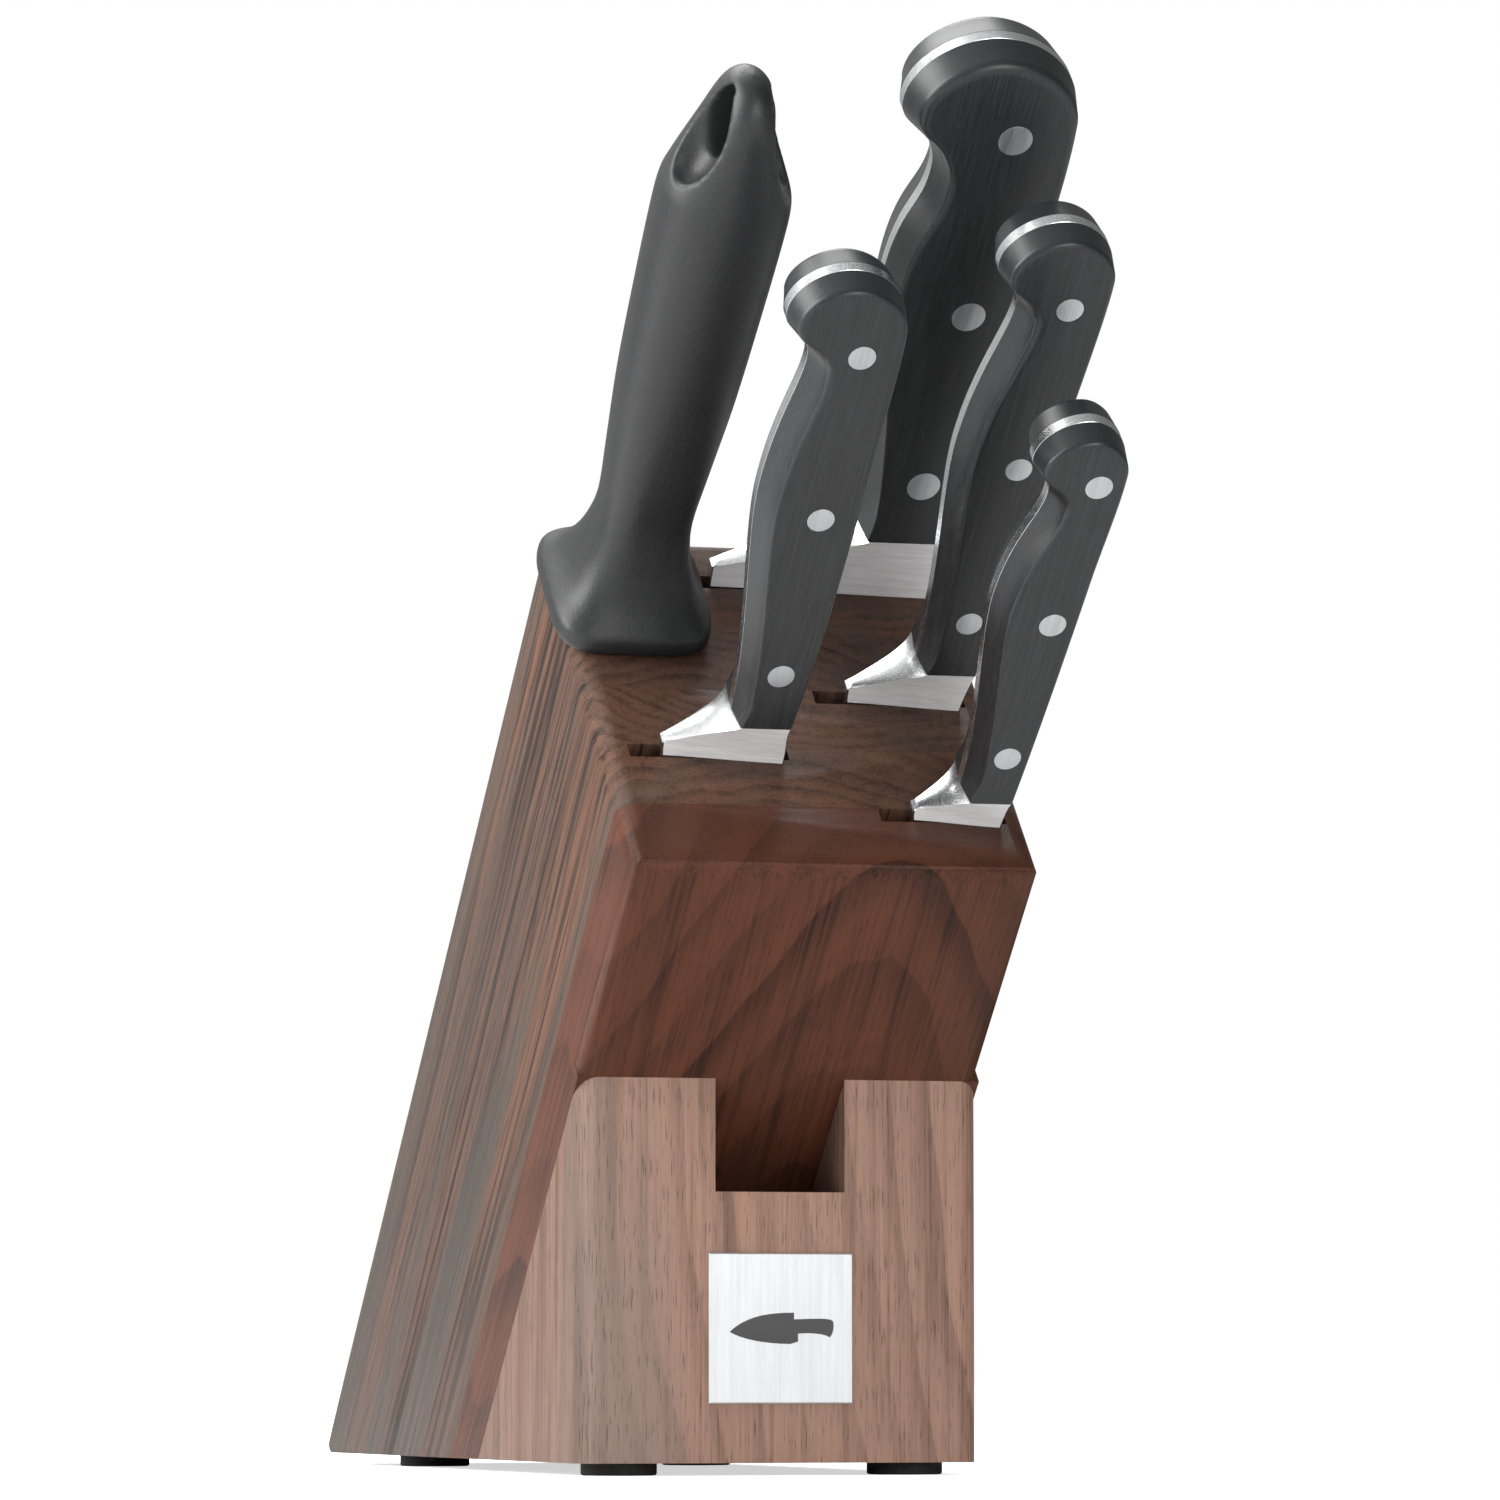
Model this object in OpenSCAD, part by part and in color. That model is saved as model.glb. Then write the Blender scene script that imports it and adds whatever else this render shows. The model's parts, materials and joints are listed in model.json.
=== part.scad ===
// Slanted laminated knife block with four riveted knives and a sharpening steel.
//
// Frame: +X to the right, +Y to the back, +Z up. The origin is on the floor, at
// the middle of the whole object's footprint.
//
// Stack frame, used by the boards, slots, knives and steel: x as above, y runs
// through the boards from the front face to the back face, z runs up along the
// slots, and z = 0 is the top face of the block. All lengths in millimetres,
// all angles in degrees.

/* [Block] */
// Width of the block, left to right
block_w = 84; // [82:1:110]
// Lean of the boards and slots, away from upright
lean = 46; // [42:1:50]
// Height of the support's front edge above the underside
support_h = 76.6; // [62:0.2:95]
// Length of the front board's face above the support
nose_len = 57.2; // [45:0.2:75]
// Thickness of each of the five front boards
board_t = 17.7; // [16.5:0.1:22]
// Thickness of the plain board at the back
back_board_t = 12.2; // [10:0.1:20]
// Radius of the block's rounded edges
edge_r = 4.3; // [1:0.1:5]

/* [Slots and bore] */
// Width of a knife slot, milled into the back face of a board
slot_t = 3.8; // [3:0.1:5]
// Slot left open beside a blade's heel
slot_heel_gap = 6; // [1:0.1:7]
// Slot left open beside a blade's spine
slot_spine_gap = 1.5; // [0.5:0.1:3]
// Slot left open below a blade's point
slot_end_gap = 8; // [3:1:20]
// Clearance all round the steel's rod
bore_gap = 1.3; // [0.5:0.1:2]

/* [Shears pocket] */
// Width of the pocket
pocket_w = 27; // [20:0.5:35]
// Height of the pocket's mouth in the support's front face
pocket_h = 22.6; // [15:0.2:30]

/* [Name plate] */
// Side of the square plate
plate_w = 30; // [20:1:40]
// Thickness of the plate
plate_t = 0.8; // [0.5:0.1:2]
// Height of the plate's centre above the underside
plate_z = 26.8; // [24:0.2:32]

/* [Feet] */
// Diameter of a foot
foot_d = 15.3; // [10:0.1:18]
// Height of a foot
foot_h = 2.5; // [1.5:0.1:5]
// Distance from a foot's centre to the block's side
foot_inset = 12; // [10:0.5:20]
// Distance from the front feet's centres to the front face
front_foot_y = 12.5; // [10:0.5:20]
// Distance from the rear feet's centres to the front face
rear_foot_y = 165; // [150:1:180]

/* [Knives, shared] */
// Thickness of a blade at its spine
blade_t = 2.2; // [1.5:0.1:2.6]
// Thickness of a blade at its edge
edge_t = 0.4; // [0.2:0.1:0.8]
// Thickness of the full tang
tang_t = 2.7; // [2:0.1:4]
// Half thickness of a bolster at the heel's tip
heel_half_t = 1.5; // [1.2:0.1:2.5]
// Half thickness of a bolster's foot at the spine
shoulder_half_t = 3; // [2.5:0.1:4]

/* [Paring knife] */
// Length of the blade
paring_blade_len = 100; // [70:1:125]
// Height of the blade at its heel
paring_blade_h = 18.5; // [15:0.5:23]
// Distance from one rivet to the next
paring_pitch = 34.2; // [28:0.2:42]
// Width of the handle at the middle rivet
paring_handle_w = 16.3; // [13:0.1:20]
// Distance from the rivets' line to the handle's spine side
paring_spine_side = 4.9; // [3.5:0.1:7]
// Height of the butt's crown above the top rivet
paring_crown_h = 11.2; // [9:0.1:14]
// Thickness of the handle
paring_handle_t = 14.4; // [12:0.1:16]
// Height of the bolster
paring_bolster_h = 9.8; // [8:0.1:14]
// Diameter of the rivets
paring_rivet_d = 5.5; // [4:0.1:6]
// Distance from the block's right side to the spine
paring_inset = 6; // [5:0.1:10]
// Distance from the blade's spine back to the middle rivet
paring_rivet_inset = 3.8; // [3:0.1:5]
// Tilt of the handle towards the spine's side
paring_tilt = 1.6; // [-2:0.1:2]

/* [Utility knife] */
// Length of the blade
utility_blade_len = 140; // [110:1:150]
// Height of the blade at its heel
utility_blade_h = 25.3; // [20:0.1:32]
// Distance from one rivet to the next
utility_pitch = 39.4; // [32:0.2:48]
// Width of the handle at the middle rivet
utility_handle_w = 19.4; // [16:0.1:23]
// Distance from the rivets' line to the handle's spine side
utility_spine_side = 7.5; // [5:0.1:9]
// Height of the butt's crown above the top rivet
utility_crown_h = 16.1; // [13:0.1:20]
// Thickness of the handle
utility_handle_t = 14.7; // [12:0.1:16]
// Height of the bolster
utility_bolster_h = 12.6; // [10:0.1:16]
// Diameter of the rivets
utility_rivet_d = 5.5; // [4:0.1:6]
// Distance from the block's left side to the heel
utility_inset = 11.4; // [7:0.1:13]
// Distance from the blade's spine back to the middle rivet
utility_rivet_inset = 7.6; // [6:0.1:9]
// Tilt of the handle towards the spine's side
utility_tilt = -0.8; // [-2:0.1:2]

/* [Carving knife] */
// Length of the blade
carving_blade_len = 180; // [150:1:200]
// Height of the blade at its heel
carving_blade_h = 24.2; // [20:0.1:30]
// Distance from one rivet to the next
carving_pitch = 39.4; // [32:0.2:48]
// Width of the handle at the middle rivet
carving_handle_w = 19.2; // [16:0.1:23]
// Distance from the rivets' line to the handle's spine side
carving_spine_side = 7.1; // [5:0.1:9]
// Height of the butt's crown above the top rivet
carving_crown_h = 16.5; // [13:0.1:20]
// Thickness of the handle
carving_handle_t = 14.7; // [12:0.1:16]
// Height of the bolster
carving_bolster_h = 12.8; // [10:0.1:17]
// Diameter of the rivets
carving_rivet_d = 5.5; // [4:0.1:6]
// Distance from the block's right side to the spine
carving_inset = 6.4; // [5:0.1:10]
// Distance from the blade's spine back to the middle rivet
carving_rivet_inset = 4.3; // [3.5:0.1:6]
// Tilt of the handle towards the spine's side
carving_tilt = 1.3; // [-2:0.1:2]

/* [Chef's knife] */
// Length of the blade
chef_blade_len = 200; // [165:1:240]
// Height of the blade at its heel
chef_blade_h = 46.6; // [38:0.1:47]
// Distance from one rivet to the next
chef_pitch = 43.1; // [35:0.2:52]
// Width of the handle at the middle rivet
chef_handle_w = 28.7; // [23:0.1:30]
// Distance from the rivets' line to the handle's spine side
chef_spine_side = 11.6; // [9:0.1:14]
// Height of the butt's crown above the top rivet
chef_crown_h = 18.7; // [15:0.1:23]
// Thickness of the handle
chef_handle_t = 17.6; // [14:0.1:20]
// Height of the bolster
chef_bolster_h = 19; // [15:0.1:24]
// Diameter of the rivets
chef_rivet_d = 7; // [5:0.1:8]
// Distance from the block's right side to the spine
chef_inset = 5.5; // [5:0.1:8]
// Distance from the blade's spine back to the middle rivet
chef_rivet_inset = 10.3; // [8:0.1:12]
// Tilt of the handle towards the spine's side
chef_tilt = -0.8; // [-2:0.1:2]

/* [Sharpening steel] */
// Diameter of the rod
rod_d = 11; // [8:0.1:12]
// Length of the rod below the guard
rod_len = 205; // [165:1:230]
// Diameter of the rod's tang inside the handle
rod_tang_d = 7; // [5:0.1:8]
// Length of the rod's tang inside the handle
rod_tang_len = 80; // [50:1:95]
// Distance from the block's left side to the rod's axis
steel_inset = 12.7; // [12:0.1:13.5]
// Width of the guard, left to right
guard_w = 33; // [27:0.5:34]
// Depth of the guard, front to back
guard_l = 36; // [28:0.5:38]
// Thickness of the guard's rim
guard_rim = 4.6; // [3:0.1:7]
// Length of the handle, from the guard's foot to the loop's top
steel_handle_len = 131; // [120:1:160]
// Width of the handle's waist above the guard
waist_w = 18.8; // [16:0.2:23]
// Width of the handle's shoulder below the loop
shoulder_w = 26.4; // [22:0.2:32]
// Thickness of the hanging loop
loop_w = 9.4; // [7:0.2:14]
// Depth of the hanging loop, front to back
loop_l = 21; // [18:0.5:24]
// Width of the eye in the loop
eye_w = 9.4; // [6:0.2:11]
// Length of the eye in the loop
eye_len = 14; // [12:0.5:18]

/* [Hidden] */
$fn = 64;
// Overlap used where a cutter must break a surface
cut = 1;

stack_t = 5 * board_t + back_board_t;
kink = [0, support_h];
nose = [-nose_len * sin(lean), support_h + nose_len * cos(lean)];
// Place, seen from the side, of a point y behind the front face and z up the slots
function side(y, z) = [
    nose[0] + y * cos(lean) - z * sin(lean),
    nose[1] + y * sin(lean) + z * cos(lean)
];
// Distance down the slots, at depth y, from the top face to the underside
function drop(y) = side(y, 0)[1] / cos(lean);
// Where the back face would meet the underside if the corner were sharp
tail_y = side(stack_t, -drop(stack_t))[0];

// A knife: name, board, x of the spine, then the sizes set above
NAME = 0;
BOARD = 1;
SPINE = 2;
BLADE_LEN = 3;
BLADE_H = 4;
PITCH = 5;
HANDLE_W = 6;
HANDLE_T = 7;
BOLSTER_H = 8;
RIVET_D = 9;
TILT = 10;
SPINE_SIDE = 11;
CROWN_H = 12;
RIVET_INSET = 13;
right_x = block_w / 2;
KNIVES = [
    [
        "paring", 0, right_x - paring_inset, paring_blade_len, paring_blade_h, paring_pitch,
        paring_handle_w, paring_handle_t, paring_bolster_h, paring_rivet_d, paring_tilt,
        paring_spine_side, paring_crown_h, paring_rivet_inset
    ],
    [
        "utility", 1, utility_inset + utility_blade_h - right_x, utility_blade_len,
        utility_blade_h, utility_pitch, utility_handle_w, utility_handle_t,
        utility_bolster_h, utility_rivet_d, utility_tilt, utility_spine_side,
        utility_crown_h, utility_rivet_inset
    ],
    [
        "carving", 2, right_x - carving_inset, carving_blade_len, carving_blade_h,
        carving_pitch, carving_handle_w, carving_handle_t, carving_bolster_h,
        carving_rivet_d, carving_tilt, carving_spine_side, carving_crown_h,
        carving_rivet_inset
    ],
    [
        "chef", 4, right_x - chef_inset, chef_blade_len, chef_blade_h, chef_pitch,
        chef_handle_w, chef_handle_t, chef_bolster_h, chef_rivet_d, chef_tilt,
        chef_spine_side, chef_crown_h, chef_rivet_inset
    ],
];
// Shares of the handle's width and pitch that give all four handles one shape
spine_share = 0.255;
belly_share = 0.325;
end_share = 1.345;

// Depth of a knife's middle plane, in the middle of its slot
function slot_y(k) = (k[BOARD] + 1) * board_t - slot_t / 2;
// Height of the middle rivet, so that the scales end on the bolster
function rivet_z(k) = k[BOLSTER_H] + end_share * k[PITCH];
// Height of the butt's crown
function crown_z(k) = rivet_z(k) + k[PITCH] + k[CROWN_H];
// x of the rivet line at height z
function rivet_x(k, z) =
    k[SPINE] - k[RIVET_INSET] + tan(k[TILT]) * (z - rivet_z(k));
function heel_x(k) = k[SPINE] - k[BLADE_H];

// The footprint's middle: from the foremost butt to the rounded tail
tail_round = edge_r / tan((90 - lean) / 2);
rear_y = tail_y - tail_round + edge_r;
fore_y = min([for (k = KNIVES) side(slot_y(k) - k[HANDLE_T] / 2, crown_z(k))[0]]);
middle_y = (rear_y + fore_y) / 2;

// The steel stands in the middle of the fifth board
steel_at = [steel_inset - right_x, 4.5 * board_t];
bore_d = rod_d + 2 * bore_gap;

BOARDS = ["front", "second", "third", "fourth", "fifth", "back"];
FEET = ["front_left", "front_right", "rear_left", "rear_right"];

walnut = ["#6d4632", "#744a34", "#694230", "#5f3c2c", "#6b4534", "#553628"];
forged_steel = "#c9ccce";
scale_black = "#1f2021";

// Points of a cubic curve from a to d, led by b and c, without its last point
function curve(a, b, c, d, n = 8) = [
    for (i = [0:n - 1])
        let (t = i / n, s = 1 - t)
        s * s * s * a + 3 * s * s * t * b + 3 * s * t * t * c + t * t * t * d
];

module rounded_rect(x, y, r) {
    translate([-x / 2 + r, -y / 2]) square([x - 2 * r, y]);
    translate([-x / 2, -y / 2 + r]) square([x, y - 2 * r]);
    for (sx = [-1, 1], sy = [-1, 1])
        translate([sx * (x / 2 - r), sy * (y / 2 - r)]) circle(r);
}

// Puts what is drawn in the stack frame into place on the block
module in_stack() {
    translate([0, nose[0], nose[1]]) rotate([lean, 0, 0]) children();
}

// Puts what is drawn on the underside, front face at y = 0, into the part's frame
module in_frame() {
    translate([0, -middle_y, foot_h]) children();
}

// Extrudes an outline drawn in y and z along x, over the block's width
module across_block(extra = 0) {
    translate([-right_x - extra, 0, 0]) rotate([90, 0, 90])
        linear_extrude(block_w + 2 * extra) children();
}

// Extrudes an outline drawn in x and z through a thickness, centred on y = 0
module through(t) {
    rotate([90, 0, 0]) linear_extrude(t, center = true) children();
}

// ---- Block ----

// Rounds the sharp corner between the back face and the underside
module tail_cutter() {
    corner_x = tail_y - tail_round;
    across_block(cut) difference() {
        polygon([
            [corner_x, 0],
            [corner_x, -cut],
            [tail_y + 3 * cut, -cut],
            [tail_y - tail_round * sin(lean) + cut, tail_round * cos(lean) + cut],
            [tail_y - tail_round * sin(lean), tail_round * cos(lean)],
        ]);
        translate([corner_x, edge_r]) circle(edge_r);
    }
}

// The whole stack of boards, before it is divided and cut at the underside
module stack_blank() {
    full = drop(stack_t) + stack_t;
    mid_y = stack_t / 2;
    intersection() {
        union() {
            translate([0, mid_y, -nose_len])
                linear_extrude(nose_len) rounded_rect(block_w, stack_t, edge_r);
            // Behind the support only the back edges are rounded
            translate([0, mid_y, -full]) linear_extrude(full - nose_len) {
                rounded_rect(block_w, stack_t, edge_r);
                translate([-right_x, -mid_y]) square([block_w, mid_y]);
            }
        }
        // Rounded top edges: left and right, then front and back
        translate([0, mid_y, -full / 2]) through(stack_t) rounded_rect(block_w, full, edge_r);
        across_block() translate([mid_y, -full / 2]) rounded_rect(stack_t, full, edge_r);
    }
}

// Space milled out of a board for one knife
module slot_cutter(k) {
    left = heel_x(k) - slot_heel_gap;
    translate([left, slot_y(k) - slot_t / 2, -k[BLADE_LEN] - slot_end_gap])
        cube([
            k[SPINE] + slot_spine_gap - left,
            slot_t,
            k[BLADE_LEN] + slot_end_gap + cut
        ]);
}

module bore_cutter() {
    depth = rod_len + slot_end_gap;
    translate([steel_at[0], steel_at[1], -depth]) cylinder(h = depth + cut, d = bore_d);
}

module board(i) {
    t = i < 5 ? board_t : back_board_t;
    full = drop(stack_t) + stack_t;
    color(walnut[i]) in_frame() difference() {
        in_stack() difference() {
            intersection() {
                stack_blank();
                translate([-right_x, i * board_t, -full]) cube([block_w, t, full]);
            }
            for (k = KNIVES) if (k[BOARD] == i) slot_cutter(k);
            if (i == 4) bore_cutter();
        }
        translate([-block_w, -block_w, -4 * tail_y]) cube([2 * block_w, 4 * tail_y, 4 * tail_y]);
        if (i == 5) tail_cutter();
    }
}

// The wedge under the front board, with the shears pocket running through it
module support() {
    foot_y = support_h * tan(lean);
    pocket_foot_y = (support_h - pocket_h) * tan(lean);
    color("#8a6552") in_frame() difference() {
        intersection() {
            across_block() polygon([[0, 0], kink, [foot_y, 0]]);
            // Front edges rounded
            translate([0, block_w, 0])
                linear_extrude(support_h) rounded_rect(block_w, 2 * block_w, edge_r);
        }
        translate([-pocket_w / 2, 0, 0]) rotate([90, 0, 90]) linear_extrude(pocket_w)
            polygon([
                [-cut, support_h + cut / tan(lean)],
                [-cut, support_h - pocket_h],
                [0, support_h - pocket_h],
                [pocket_foot_y, 0],
                [pocket_foot_y, -cut],
                [foot_y + cut * tan(lean), -cut],
            ]);
    }
}

module name_plate() {
    color("#d5d7d8") in_frame() translate([0, 0, plate_z])
        rotate([90, 0, 0]) linear_extrude(plate_t) square(plate_w, center = true);
}

module foot(i) {
    x = (i % 2 == 0 ? -1 : 1) * (right_x - foot_inset);
    y = i < 2 ? front_foot_y : rear_foot_y;
    color("#1b1b1c") in_frame() translate([x, y, -foot_h]) cylinder(h = foot_h, d = foot_d);
}

// ---- Knives ----

// Outline of a handle from the bolster round the butt and back, in x and z
function handle_outline(k) =
    let (
        w = k[HANDLE_W],
        s = k[SPINE_SIDE],
        b = w - s,
        p = k[PITCH],
        c = p + k[CROWN_H],
        shape = concat(
            // up the spine
            curve([spine_share * w, -end_share * p], [0.3 * spine_share * w + 0.7 * s, -0.85 * p],
                [s, -0.3 * p], [s + 0.01 * w, 0.35 * p]),
            curve([s + 0.01 * w, 0.35 * p], [s + 0.02 * w, 0.55 * p],
                [s + 0.06 * w, c - 0.93 * w], [s + 0.055 * w, c - 0.54 * w]),
            // over the crown
            curve([s + 0.055 * w, c - 0.54 * w], [s + 0.05 * w, c - 0.27 * w],
                [s - 0.22 * w, c], [-0.17 * w, c]),
            curve([-0.17 * w, c], [-0.43 * w, c], [-0.75 * w, c - 0.22 * w],
                [-0.76 * w, c - 0.51 * w]),
            // round the hook to the throat
            curve([-0.76 * w, c - 0.51 * w], [-0.765 * w, c - 0.62 * w],
                [-0.73 * w, c - 0.68 * w], [-0.65 * w, c - 0.74 * w], 5),
            curve([-0.65 * w, c - 0.74 * w], [-0.55 * w, c - 0.81 * w],
                [-0.46 * w, c - 0.88 * w], [-0.445 * w, c - 1.06 * w], 5),
            // down the belly
            curve([-0.445 * w, c - 1.06 * w], [-0.43 * w, c - 1.42 * w],
                [-b, 0.5 * p], [-b, 0.08 * p]),
            curve([-b, 0.08 * p], [-b, -0.25 * p],
                [-0.34 * w, -0.8 * p], [-belly_share * w, -end_share * p]),
            [[-belly_share * w, -end_share * p]]
        )
    )
    [for (q = shape) [rivet_x(k, rivet_z(k) + q[1]) + q[0], rivet_z(k) + q[1]]];

// Outline of a blade, from the heel's foot to the point and up the spine
function blade_outline(k) =
    let (n = 16, h = k[BLADE_H], l = k[BLADE_LEN], point_drop = 0.16 * h)
    concat(
        [for (i = [0:n]) let (t = i / n)
            [heel_x(k) + (h - point_drop) * pow(t, 3.2), -l * t]],
        [for (i = [n - 1:-1:0]) let (t = i / n)
            [k[SPINE] - point_drop * pow(t, 5), -l * t]]
    );

// The bolster is the common part of its front, end and plan outlines
module bolster(k) {
    h = k[BOLSTER_H];
    half_t = k[HANDLE_T] / 2;
    spine_end = rivet_x(k, h) + spine_share * k[HANDLE_W];
    belly_end = rivet_x(k, h) - belly_share * k[HANDLE_W];
    heel = heel_x(k);
    flare = belly_end - heel;
    heel_h = 0.27 * h;
    intersection() {
        through(k[HANDLE_T]) polygon(concat(
            [[heel + 0.5, 0], [k[SPINE], 0]],
            [[spine_end, h]],
            curve([belly_end, h], [belly_end - 0.1 * flare, 0.75 * h],
                [heel + 0.3 * flare, 0.48 * h], [heel, heel_h])
        ));
        translate([heel - cut, 0, 0]) rotate([90, 0, 90])
            linear_extrude(k[BLADE_H] + 2 * cut) polygon(concat(
                curve([shoulder_half_t, 0], [shoulder_half_t + 0.4, 0.4 * h],
                    [half_t - 1.2, 0.75 * h], [half_t, h]),
                [[half_t, h], [-half_t, h]],
                curve([-half_t, h], [-half_t + 1.2, 0.75 * h],
                    [-shoulder_half_t - 0.4, 0.4 * h], [-shoulder_half_t, 0]),
                [[-shoulder_half_t, 0]]
            ));
        linear_extrude(h) polygon(concat(
            [[heel - cut, -heel_half_t]],
            curve([heel, -heel_half_t], [heel + 0.5 * flare, -heel_half_t],
                [belly_end, -0.7 * half_t], [belly_end + 0.5 * flare, -half_t]),
            [[k[SPINE] + cut, -half_t], [k[SPINE] + cut, half_t]],
            curve([belly_end + 0.5 * flare, half_t], [belly_end, 0.7 * half_t],
                [heel + 0.5 * flare, heel_half_t], [heel, heel_half_t]),
            [[heel - cut, heel_half_t]]
        ));
    }
}

// The three rivets of a knife, grown by extra on the radius
module rivet_bars(k, t) {
    for (i = [-1:1]) {
        z = rivet_z(k) + i * k[PITCH];
        translate([rivet_x(k, z), 0, z]) rotate([90, 0, 0])
            cylinder(h = t, d = k[RIVET_D], center = true);
    }
}

// Puts what is drawn round a knife's middle plane into its slot
module in_slot(k) {
    in_frame() in_stack() translate([0, slot_y(k), 0]) children();
}

// Blade, bolster and tang, forged in one piece
module blade(k) {
    color(forged_steel) in_slot(k) {
        // Ground from the spine to the edge
        intersection() {
            through(blade_t) polygon(blade_outline(k));
            translate([0, 0, -k[BLADE_LEN] - cut]) linear_extrude(k[BLADE_LEN] + cut)
                polygon([
                    [k[SPINE], -blade_t / 2], [k[SPINE], blade_t / 2],
                    [heel_x(k), edge_t / 2], [heel_x(k), -edge_t / 2]
                ]);
        }
        bolster(k);
        difference() {
            through(tang_t) polygon(handle_outline(k));
            rivet_bars(k, k[HANDLE_T]);
        }
    }
}

// One of the two grips; side is -1 in front of the tang and 1 behind it
module scale_plate(k, side) {
    t = (k[HANDLE_T] - tang_t) / 2;
    color(scale_black) in_slot(k) difference() {
        translate([0, side * (tang_t + t) / 2, 0]) through(t) polygon(handle_outline(k));
        rivet_bars(k, 2 * k[HANDLE_T]);
    }
}

module rivets(k) {
    color("#b9bbbc") in_slot(k) rivet_bars(k, k[HANDLE_T]);
}

// ---- Sharpening steel ----

module in_bore() {
    in_frame() in_stack() translate([steel_at[0], steel_at[1], 0]) children();
}

module steel_rod() {
    tip = 1.5;
    color("#9da1a3") in_bore() {
        translate([0, 0, -rod_len + tip]) cylinder(h = rod_len - tip, d = rod_d);
        translate([0, 0, -rod_len]) cylinder(h = tip, d1 = rod_d - 2 * tip, d2 = rod_d);
        cylinder(h = rod_tang_len, d = rod_tang_d);
    }
}

// A thin slice of the handle at height z, x wide and y deep, corners rounded by r
module slice(z, x, y, r) {
    for (sx = [-1, 1], sy = [-1, 1])
        translate([sx * (x / 2 - r), sy * (y / 2 - r), z]) cylinder(h = 0.1, r = r, $fn = 32);
}

module steel_handle() {
    waist_z = guard_rim + 20;
    shoulder_z = steel_handle_len - 27;
    swell_w = (waist_w + shoulder_w) / 2 + 1.2;
    swell_z = (waist_z + shoulder_z) / 2 - 7;
    eye_z = steel_handle_len - (loop_l - eye_w) / 2 - eye_len / 2;
    color("#28292b") in_bore() difference() {
        union() {
            linear_extrude(guard_rim) rounded_rect(guard_w, guard_l, 6);
            hull() {
                slice(guard_rim - 0.1, guard_w, guard_l, 6);
                slice(guard_rim + 7, waist_w + 5, waist_w + 6, 6);
            }
            hull() {
                slice(guard_rim + 7, waist_w + 5, waist_w + 6, 6);
                slice(waist_z, waist_w, waist_w, 7);
            }
            hull() {
                slice(waist_z, waist_w, waist_w, 7);
                slice(swell_z, swell_w, swell_w, 9);
            }
            hull() {
                slice(swell_z, swell_w, swell_w, 9);
                slice(shoulder_z, shoulder_w, shoulder_w, 9);
            }
            hull() {
                slice(shoulder_z, shoulder_w, shoulder_w, 9);
                slice(shoulder_z + 9, loop_w + 5, loop_l + 1, 6);
            }
            hull() {
                slice(shoulder_z + 9, loop_w + 5, loop_l + 1, 6);
                translate([0, 0, steel_handle_len - loop_l / 2]) rotate([0, 90, 0])
                    cylinder(h = loop_w, d = loop_l, center = true, $fn = 32);
            }
        }
        // The eye, a slot with round ends
        for (z = [-1, 1]) translate([0, 0, eye_z + z * (eye_len - eye_w) / 2])
            rotate([0, 90, 0]) cylinder(h = 2 * shoulder_w, d = eye_w, center = true);
        translate([0, 0, eye_z])
            cube([2 * shoulder_w, eye_w, eye_len - eye_w], center = true);
        translate([0, 0, -cut]) cylinder(h = rod_tang_len + cut, d = rod_tang_d);
    }
}

for (i = [0:5]) board(i);
support();
name_plate();
for (i = [0:3]) foot(i);
for (k = KNIVES) {
    blade(k);
    scale_plate(k, -1);
    scale_plate(k, 1);
    rivets(k);
}
steel_rod();
steel_handle();
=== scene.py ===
"""Slanted laminated knife block with four riveted knives and a sharpening steel.

Shapes are drawn in millimetres in the stack frame: x to the right, y through the boards
from the front board to the back one, z up along the slots, z = 0 on the block's top face.
One matrix, STACK, puts them in place and turns millimetres into metres.
"""

import json
import math

import bmesh
import bpy
from mathutils import Matrix, Vector


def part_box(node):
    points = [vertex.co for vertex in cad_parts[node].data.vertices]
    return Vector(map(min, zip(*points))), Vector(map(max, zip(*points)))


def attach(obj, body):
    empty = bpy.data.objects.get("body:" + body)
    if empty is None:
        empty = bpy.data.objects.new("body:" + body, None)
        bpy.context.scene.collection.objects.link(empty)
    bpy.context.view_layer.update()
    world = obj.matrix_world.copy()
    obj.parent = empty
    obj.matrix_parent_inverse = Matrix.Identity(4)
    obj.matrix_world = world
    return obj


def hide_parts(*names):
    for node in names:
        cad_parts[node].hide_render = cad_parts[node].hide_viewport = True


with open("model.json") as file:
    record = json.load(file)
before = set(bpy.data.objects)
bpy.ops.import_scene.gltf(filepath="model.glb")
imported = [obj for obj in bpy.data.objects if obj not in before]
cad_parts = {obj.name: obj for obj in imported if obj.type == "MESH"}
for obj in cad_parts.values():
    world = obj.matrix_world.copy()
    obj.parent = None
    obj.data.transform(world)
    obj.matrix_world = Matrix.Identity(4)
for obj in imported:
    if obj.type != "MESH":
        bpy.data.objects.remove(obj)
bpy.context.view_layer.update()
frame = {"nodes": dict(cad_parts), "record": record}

MM = 0.001

# ---- Where the stack frame lies ----

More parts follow.
